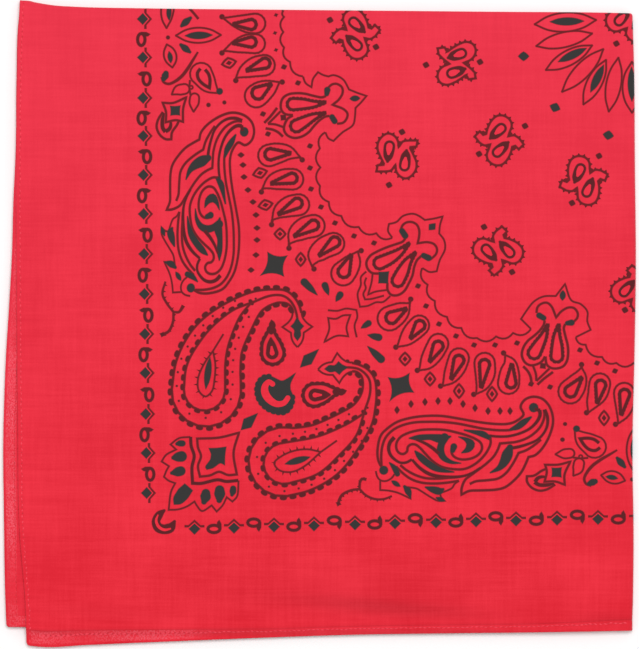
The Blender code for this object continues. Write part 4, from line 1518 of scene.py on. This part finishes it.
# The name of the meshes' attribute that holds the painted shade: how much darker the colour is painted at
# each point.
PAINTED_SHADE_ATTRIBUTE = "painted_crease_shade"


def slubs(nodes, upright):
    """The slubs of the threads that run along x, or of those that run up."""
    total = 0.0
    for along, across in SLUBS:
        scale = (across, along, SLUB_DEPTH) if upright else (along, across, SLUB_DEPTH)
        total = nodes.math("ADD", total, nodes.noise(scale))
    return nodes.math("DIVIDE", total, len(SLUBS))


def summed(nodes, parts, shares):
    """The sum of the parts, each times its share."""
    total = 0.0
    for part, share in zip(parts, shares):
        total = nodes.math("ADD", total, nodes.math("MULTIPLY", part, share))
    return total


def cotton(name, deep, bright, flecked=False):
    """Dyed plain-weave cotton: slubs along both threads, soft mottling and a fine weave, painted paler
    towards the top crease as painted light, and darker where painted shade is given at its points.
    """
    nodes = Nodes(name)
    place = nodes.add("ShaderNodeTexCoord").outputs["Object"]
    x, y, _ = nodes.add("ShaderNodeSeparateXYZ", {"Vector": place}).outputs
    mottle = nodes.noise(MOTTLING, detail=3.0)
    weave = (slubs(nodes, False), slubs(nodes, True), nodes.noise(GRAIN, detail=1.0))
    spread = nodes.rise(summed(nodes, (mottle, *weave), SPREAD_SHARES), *SPREAD)
    colour = nodes.mix(spread, (*deep, 1), (*bright, 1))
    # Painted light: the cloth turns paler and lighter towards the top crease.
    colour = nodes.mix(nodes.rise(y, *PAINTED_LIGHT_SPAN, PAINTED_LIGHT_SHARE), colour, (*PAINTED_LIGHT_RED, 1))
    if flecked:
        flecks = nodes.rise(nodes.noise(FLECKING), *FLECK_LEVELS)
        patches = nodes.rise(nodes.noise(FLECK_PATCHES, detail=1.0), *PATCH_LEVELS)
        here = nodes.rise(x, FLECKS_END[1], FLECKS_END[0])
        share = nodes.math("MULTIPLY", nodes.math("MULTIPLY", flecks, patches), here)
        colour = nodes.mix(nodes.math("MULTIPLY", share, FLECK_SHARE), colour, (*FLECK, 1))
    # Painted shade: the colour is mixed towards black by each point's painted shade.
    shade = nodes.add("ShaderNodeAttribute", attribute_name=PAINTED_SHADE_ATTRIBUTE).outputs["Fac"]
    nodes.link(nodes.mix(shade, colour, (0, 0, 0, 1)), "Base Color")
    finish_cloth(nodes, weave, roughness=0.86, sheen=0.12)
    return nodes.material


def finish_cloth(nodes, weave, roughness, sheen):
    """The weave's relief and the surface of a cotton or of the ink on it."""
    height = summed(nodes, weave, RELIEF_SHARES)
    bump = nodes.add("ShaderNodeBump", {"Height": height}, Strength=0.5, Distance=WEAVE_HEIGHT)
    nodes.link(bump.outputs[0], "Normal")
    nodes.shader.inputs["Roughness"].default_value = roughness
    nodes.shader.inputs["Sheen Weight"].default_value = sheen
    nodes.shader.inputs["Sheen Roughness"].default_value = 0.5
    nodes.shader.inputs["Specular IOR Level"].default_value = 0.3


def ink(name, colour):
    """The dark print: its colour is even, and the weave shows through in relief."""
    nodes = Nodes(name)
    nodes.shader.inputs["Base Color"].default_value = (*colour, 1)
    weave = (slubs(nodes, False), slubs(nodes, True), nodes.noise(GRAIN, detail=1.0))
    finish_cloth(nodes, weave, roughness=0.8, sheen=0.05)
    return nodes.material


def plain(name, colour, roughness):
    """A material of one even colour."""
    nodes = Nodes(name)
    nodes.shader.inputs["Base Color"].default_value = (*colour, 1)
    nodes.shader.inputs["Roughness"].default_value = roughness
    return nodes.material


def cloth_materials():
    """The materials of the cloth's meshes, in the order of what covers the cloth."""
    printed = cotton("printed_cotton", *PRINTED_DYE)
    wrong = cotton("wrong_side_cotton", *WRONG_SIDE_DYE)
    inks = (ink("rim_ink", RIM_COLOUR), ink("thin_ink", THIN_INK_COLOUR), ink("bold_ink", BOLD_INK_COLOUR),
            ink("solid_ink", SOLID_INK_COLOUR))
    band = cotton("hem_band", *BAND_DYE, flecked=True)
    return (printed, *inks, wrong, band)


# ---- The pieces. ----


def rounded_corner(u, v):
    """The same places, with the square corner of the two hems drawn in to a round one."""
    from_u, from_v = np.maximum(CORNER_RADIUS - u, 0.0), np.maximum(CORNER_RADIUS - v, 0.0)
    reach = np.maximum(np.hypot(from_u, from_v), 1e-9)
    in_corner = (from_u > 0) & (from_v > 0)
    drawn_in = np.where(in_corner, 1 - np.maximum(from_u, from_v) / reach, 0.0)
    return u + from_u * drawn_in, v + from_v * drawn_in


def shell(layer, outer, inner, flipped):
    """A thin closed shell over a layer: points, faces, the faces' material numbers, and each point's painted
    shade.
    """
    u, v = outer.points.T
    print_depth, _ = cloth_depths(u, v, flipped)
    print_points = cloth_points(layer, *rounded_corner(u, v), print_depth)
    x, y, _ = print_points.T / MM
    # Painted shade: the front's troughs, and a wide band near its lower edge, are painted darker.
    shade = sum(hollow.shade * hollow_share(hollow, x, y) for hollow in HOLLOWS) if layer.relief else 0 * x
    # Painted shade: a dark line along the groove beside each layer's lower hem.
    shade = shade + PAINTED_GROOVE_SHADE * np.exp(-((v - HEM_WIDTH - GROOVE_PLACE) / GROOVE_WIDTH) ** 2)
    u, v = inner.points.T
    _, wrong_depth = cloth_depths(u, v, flipped)
    wrong_points = cloth_points(layer, *rounded_corner(u, v), wrong_depth)
    painted_shades = np.concatenate((shade, 0 * wrong_points[:, 0]))
    start = len(print_points)
    facing = slice(None, None, -1) if layer.outside == layer.below else slice(None)
    faces = [tuple(face[facing]) for face in outer.triangles.tolist()]
    faces += [tuple(start + corner for corner in face[facing][::-1]) for face in inner.triangles.tolist()]
    u, v = outer.centres.T
    in_band = (v > PRINT_BAND_START[1]) & (v < HEM_WIDTH) & (u > PRINT_BAND_START[0])
    kinds = np.where(in_band & layer.outside, HEM_BAND, outer.covers).tolist()
    u, v = inner.centres.T
    in_side_band = (u > WRONG_BAND_START) & (u < HEM_WIDTH + WRONG_BAND_OVERRUN)
    in_low_band = (v > WRONG_BAND_START) & (v < HEM_WIDTH)
    kinds += np.where(in_side_band | in_low_band, HEM_BAND, WRONG_SIDE).tolist()
    apart = outer.points[outer.rim][:, None] - inner.points[inner.rim][None]
    matches = start + np.array(inner.rim)[np.argmin(np.sum(apart**2, axis=2), axis=1)]
    for k, here in enumerate(outer.rim):
        there, low_here, low_there = outer.rim[k - 1], int(matches[k]), int(matches[k - 1])
        faces.append((here, there, low_there, low_here)[facing])
        kinds.append(BARE)
    return np.vstack((print_points, wrong_points)), faces, kinds, painted_shades


def mesh_object(name, points, faces, kinds, painted_shades, materials):
    """A mesh that rides on the part."""
    mesh = bpy.data.meshes.new(name)
    mesh.from_pydata(points.tolist(), [], faces)
    for material in materials:
        mesh.materials.append(material)
    mesh.polygons.foreach_set("material_index", kinds)
    mesh.validate()
    mesh.shade_smooth()
    mesh.set_sharp_from_angle(angle=math.radians(SMOOTH_ANGLE))
    # Each point's painted shade, which darkens the cotton's colour there.
    mesh.attributes.new(PAINTED_SHADE_ATTRIBUTE, "FLOAT", "POINT").data.foreach_set("value", painted_shades)
    thing = bpy.data.objects.new(name, mesh)
    bpy.context.scene.collection.objects.link(thing)
    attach(thing, "root")
    return thing


def join_shells(shells):
    """Several shells as the points, faces, material numbers and painted shades of one mesh."""
    points, faces, kinds, painted_shades = [], [], [], []
    for shell_points, shell_faces, shell_kinds, shell_painted_shades in shells:
        start = sum(len(part) for part in points)
        points.append(shell_points)
        faces += [tuple(start + corner for corner in face) for face in shell_faces]
        kinds += shell_kinds
        painted_shades.append(shell_painted_shades)
    return np.vstack(points), faces, kinds, np.concatenate(painted_shades)


# A row of stitches along a hem, from a start to an end, at a distance from its edge. along_v is True up a
# side hem, and side is 1 on the print side and -1 on the wrong side.
Stitches = namedtuple("Stitches", "layer start end edge_distance pitch length width along_v side")
SIDE_STITCHES = Stitches(
    FRONT, start=1.5, end=SIDE, edge_distance=1.7, pitch=2.4, length=1.4, width=0.75, along_v=True, side=1)
LOW_STITCHES = Stitches(
    FRONT, start=8, end=SIDE, edge_distance=3.7, pitch=2.2, length=2.2, width=0.7, along_v=False, side=1)
UNDER_STITCHES = Stitches(
    UNDER, start=1.5, end=SIDE - 20, edge_distance=4.9, pitch=2.8, length=1.2, width=0.55, along_v=True,
    side=-1)
# How far a stitch stands up from the cloth, along its back and at its sides, and the shares of that height
# and of its length that a sunk one has.
STITCH_RISE = 0.16
STITCH_SIDE_RISE = 0.02
SUNK_RISE = 0.4
SUNK_LENGTH = 0.7
# How stitches differ: how far they wander off their row, how far they slant for their length, and the
# least and the most that their lengths and their pitches are stretched by.
WANDER = 0.25
SLANT = 0.2
LENGTHS = (0.8, 1.1)
PITCHES = (0.85, 1.15)
# The triangles between the six points of a stitch.
SEED_FACES = ((0, 1, 4), (1, 5, 4), (1, 2, 5), (2, 3, 5), (3, 4, 5), (3, 0, 4), (0, 3, 1), (1, 3, 2))


def thread_seed(place, middle, slant, reach, half_width, rise):
    """The six points of a stitch, like a grain of rice: (along the hem, from its edge, height)."""
    return [
        (place - reach, middle - slant, 0.0),
        (place, middle - half_width, STITCH_SIDE_RISE),
        (place + reach, middle + slant, 0.0),
        (place, middle + half_width, STITCH_SIDE_RISE),
        (place - reach / 2, middle - slant / 2, rise),
        (place + reach / 2, middle + slant / 2, rise),
    ]


def stitch_row(row):
    """The stitches of a row as the parts of a mesh: a raised one, then a sunk one, in turn, the sunk ones in
    the dark red of painted shade.
    """
    points, faces, kinds = [], [], []
    place = row.start
    sunk = False
    while place < row.end:
        middle = row.edge_distance + random.uniform(-WANDER, WANDER)
        slant = random.uniform(-SLANT, SLANT) * row.length
        reach = row.length / 2 * random.uniform(*LENGTHS) * (SUNK_LENGTH if sunk else 1)
        rise = STITCH_RISE * (SUNK_RISE if sunk else 1)
        first = len(points)
        points += thread_seed(place, middle, slant, reach, row.width / 2, rise)
        faces += [tuple(first + corner for corner in face) for face in SEED_FACES]
        kinds += [int(sunk)] * len(SEED_FACES)
        place += row.pitch / 2 * random.uniform(*PITCHES)
        sunk = not sunk
    along, from_edge, height = np.array(points).T
    u, v = (from_edge, along) if row.along_v else (along, from_edge)
    print_depth, wrong_depth = cloth_depths(u, v, row.side < 0)
    base = print_depth if row.side > 0 else wrong_depth
    return cloth_points(row.layer, u, v, base + row.side * height), faces, kinds, 0 * u


def printed_places():
    """The print's triangles as corners (u, v), all turned the same way, and each one's cover."""
    shapes, covers = draw_print()
    places = cloth_places(shapes.reshape(-1, 2)).reshape(-1, 3, 2)
    area = cross(places[:, 1] - places[:, 0], places[:, 2] - places[:, 0])
    places[area < 0] = places[area < 0][:, ::-1]
    longest = np.sqrt(np.sum((places - np.roll(places, 1, axis=1)) ** 2, axis=2).max(axis=1))
    kept = np.abs(area) > SLIVER_LIMIT * longest
    return places[kept], covers[kept]


def make_front(places, covers, materials):
    """The printed quarter on top, which goes round the right crease and the top crease."""
    u_end = SIDE + math.pi * OUTER_CREASE_RADIUS
    v_end = SIDE + math.pi * CREASE_RADIUS
    u_lines = lattice_lines(u_end, OUTER_CREASE_RADIUS)
    v_lines = lattice_lines(v_end, CREASE_RADIUS)
    outer = Cut(u_lines, v_lines, places, covers)
    inner = Cut(u_lines, v_lines, rim=outer.points[outer.rim], fine=False)
    front = mesh_object("front_quarter_cloth", *shell(FRONT, outer, inner, False), materials)
    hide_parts("front_quarter", "front_side_hem", "front_lower_hem")


def make_under(materials):
    """The second quarter, wrong side up, which goes round the inner right crease."""
    under_u = lattice_lines(SIDE + math.pi * CREASE_RADIUS, CREASE_RADIUS)
    under_v = lattice_lines(SIDE - GAP, CREASE_RADIUS)
    outer = Cut(under_u, under_v)
    under = mesh_object("under_quarter_cloth", *shell(UNDER, outer, outer, True), materials)
    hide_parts("under_quarter", "under_side_hem", "under_lower_hem")
    under_u[-1] * MM
    under_v[-1] * MM


def make_hidden(places, covers, materials):
    """The third and the fourth quarter, below the others. The fourth goes round the lower top crease."""
    back_u = lattice_lines(SIDE - GAP, CREASE_RADIUS)
    v_lines = lattice_lines(SIDE + math.pi * CREASE_RADIUS, CREASE_RADIUS)
    under_v = lattice_lines(SIDE - GAP, CREASE_RADIUS)
    back = Cut(back_u, v_lines, places[covers != RIM], covers[covers != RIM])
    back_inner = Cut(back_u, v_lines, rim=back.points[back.rim], fine=False)
    inner_cut = Cut(back_u, under_v, fine=False)
    shells = (shell(BACK, back, back_inner, False), shell(INNER, inner_cut, inner_cut, True))
    hidden = mesh_object("hidden_layers_cloth", *join_shells(shells), materials)
    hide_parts("hidden_layers")
    back_u[-1] * MM
    (v_lines[-1] + under_v[-1]) * MM


def make_threads():
    """The stitches of the hems that show."""
    threads = (plain("raised_thread", RAISED_THREAD_COLOUR, 0.8),
               plain("sunk_thread_painted_shade", SUNK_THREAD_PAINTED_SHADE, 0.85))
    front_rows = (stitch_row(SIDE_STITCHES), stitch_row(LOW_STITCHES))
    thing = mesh_object("front_hem_stitches", *join_shells(front_rows), threads)
    thing = mesh_object("under_hem_stitches", *stitch_row(UNDER_STITCHES), threads)


# ---- Floor, light and camera. ----

# The view's columns and rows, in steps of the print's grid.
FRAME_COLUMNS, FRAME_ROWS = 639, 649
# Heights in metres: the camera's, and that of the top of the cloth, where one grid step is to scale.
CAMERA_HEIGHT = 3.0
TOP_FACE = 0.0049
# The width of the camera's sensor in millimetres.
SENSOR = 36.0
# The floor lies a hair below the cloth. Metres, as are the lamp's.
FLOOR_LEVEL = -0.0002
FLOOR_HALF = 4.0
# Light comes from all around, and from a round lamp above and beyond the top crease.
SKY_STRENGTH = 0.54
LAMP_SIZE = 1.3
LAMP_POWER = 43.5
LAMP_PLACE = (0.12, 0.5, 2.56)


def make_camera():
    """Straight above, far enough away to see the cloth almost without perspective."""
    camera = bpy.data.objects.new("camera", bpy.data.cameras.new("camera"))
    camera.data.sensor_fit = "HORIZONTAL"
    camera.data.sensor_width = SENSOR
    camera.data.lens = SENSOR * (CAMERA_HEIGHT - TOP_FACE) / (FRAME_COLUMNS * GRID * MM)
    camera.data.clip_end = 20
    aim_x = (FRAME_COLUMNS / 2 - GRID_MIDDLE[0]) * GRID * MM
    aim_y = (GRID_MIDDLE[1] - FRAME_ROWS / 2) * GRID * MM
    camera.location = (aim_x, aim_y, CAMERA_HEIGHT)
    bpy.context.scene.collection.objects.link(camera)
    bpy.context.scene.camera = camera


def make_floor():
    """A pale floor to every side."""
    mesh = bpy.data.meshes.new("floor")
    corners = [(x * FLOOR_HALF, y * FLOOR_HALF, FLOOR_LEVEL) for x, y in ((-1, -1), (1, -1), (1, 1), (-1, 1))]
    mesh.from_pydata(corners, [], [(0, 1, 2, 3)])
    mesh.materials.append(plain("pale_floor", FLOOR_COLOUR, 0.9))
    floor = bpy.data.objects.new("floor", mesh)
    bpy.context.scene.collection.objects.link(floor)


def make_light():
    """Soft light from all around with a wide lamp in it."""
    scene = bpy.context.scene
    scene.view_settings.view_transform = "Standard"
    world = bpy.data.worlds.new("studio")
    world.use_nodes = True
    world.node_tree.nodes["Background"].inputs["Color"].default_value = (1, 1, 1, 1)
    world.node_tree.nodes["Background"].inputs["Strength"].default_value = SKY_STRENGTH
    scene.world = world
    key = bpy.data.lights.new("key", "AREA")
    key.shape = "DISK"
    key.size = LAMP_SIZE
    key.energy = LAMP_POWER
    lamp = bpy.data.objects.new("key", key)
    lamp.location = LAMP_PLACE
    lamp.rotation_euler = Vector(lamp.location).to_track_quat("Z", "Y").to_euler()
    scene.collection.objects.link(lamp)


make_camera()
make_light()
make_floor()
print_places, print_covers = printed_places()
cottons = cloth_materials()
make_front(print_places, print_covers, cottons)
make_under(cottons)
make_hidden(print_places, print_covers, cottons)
make_threads()
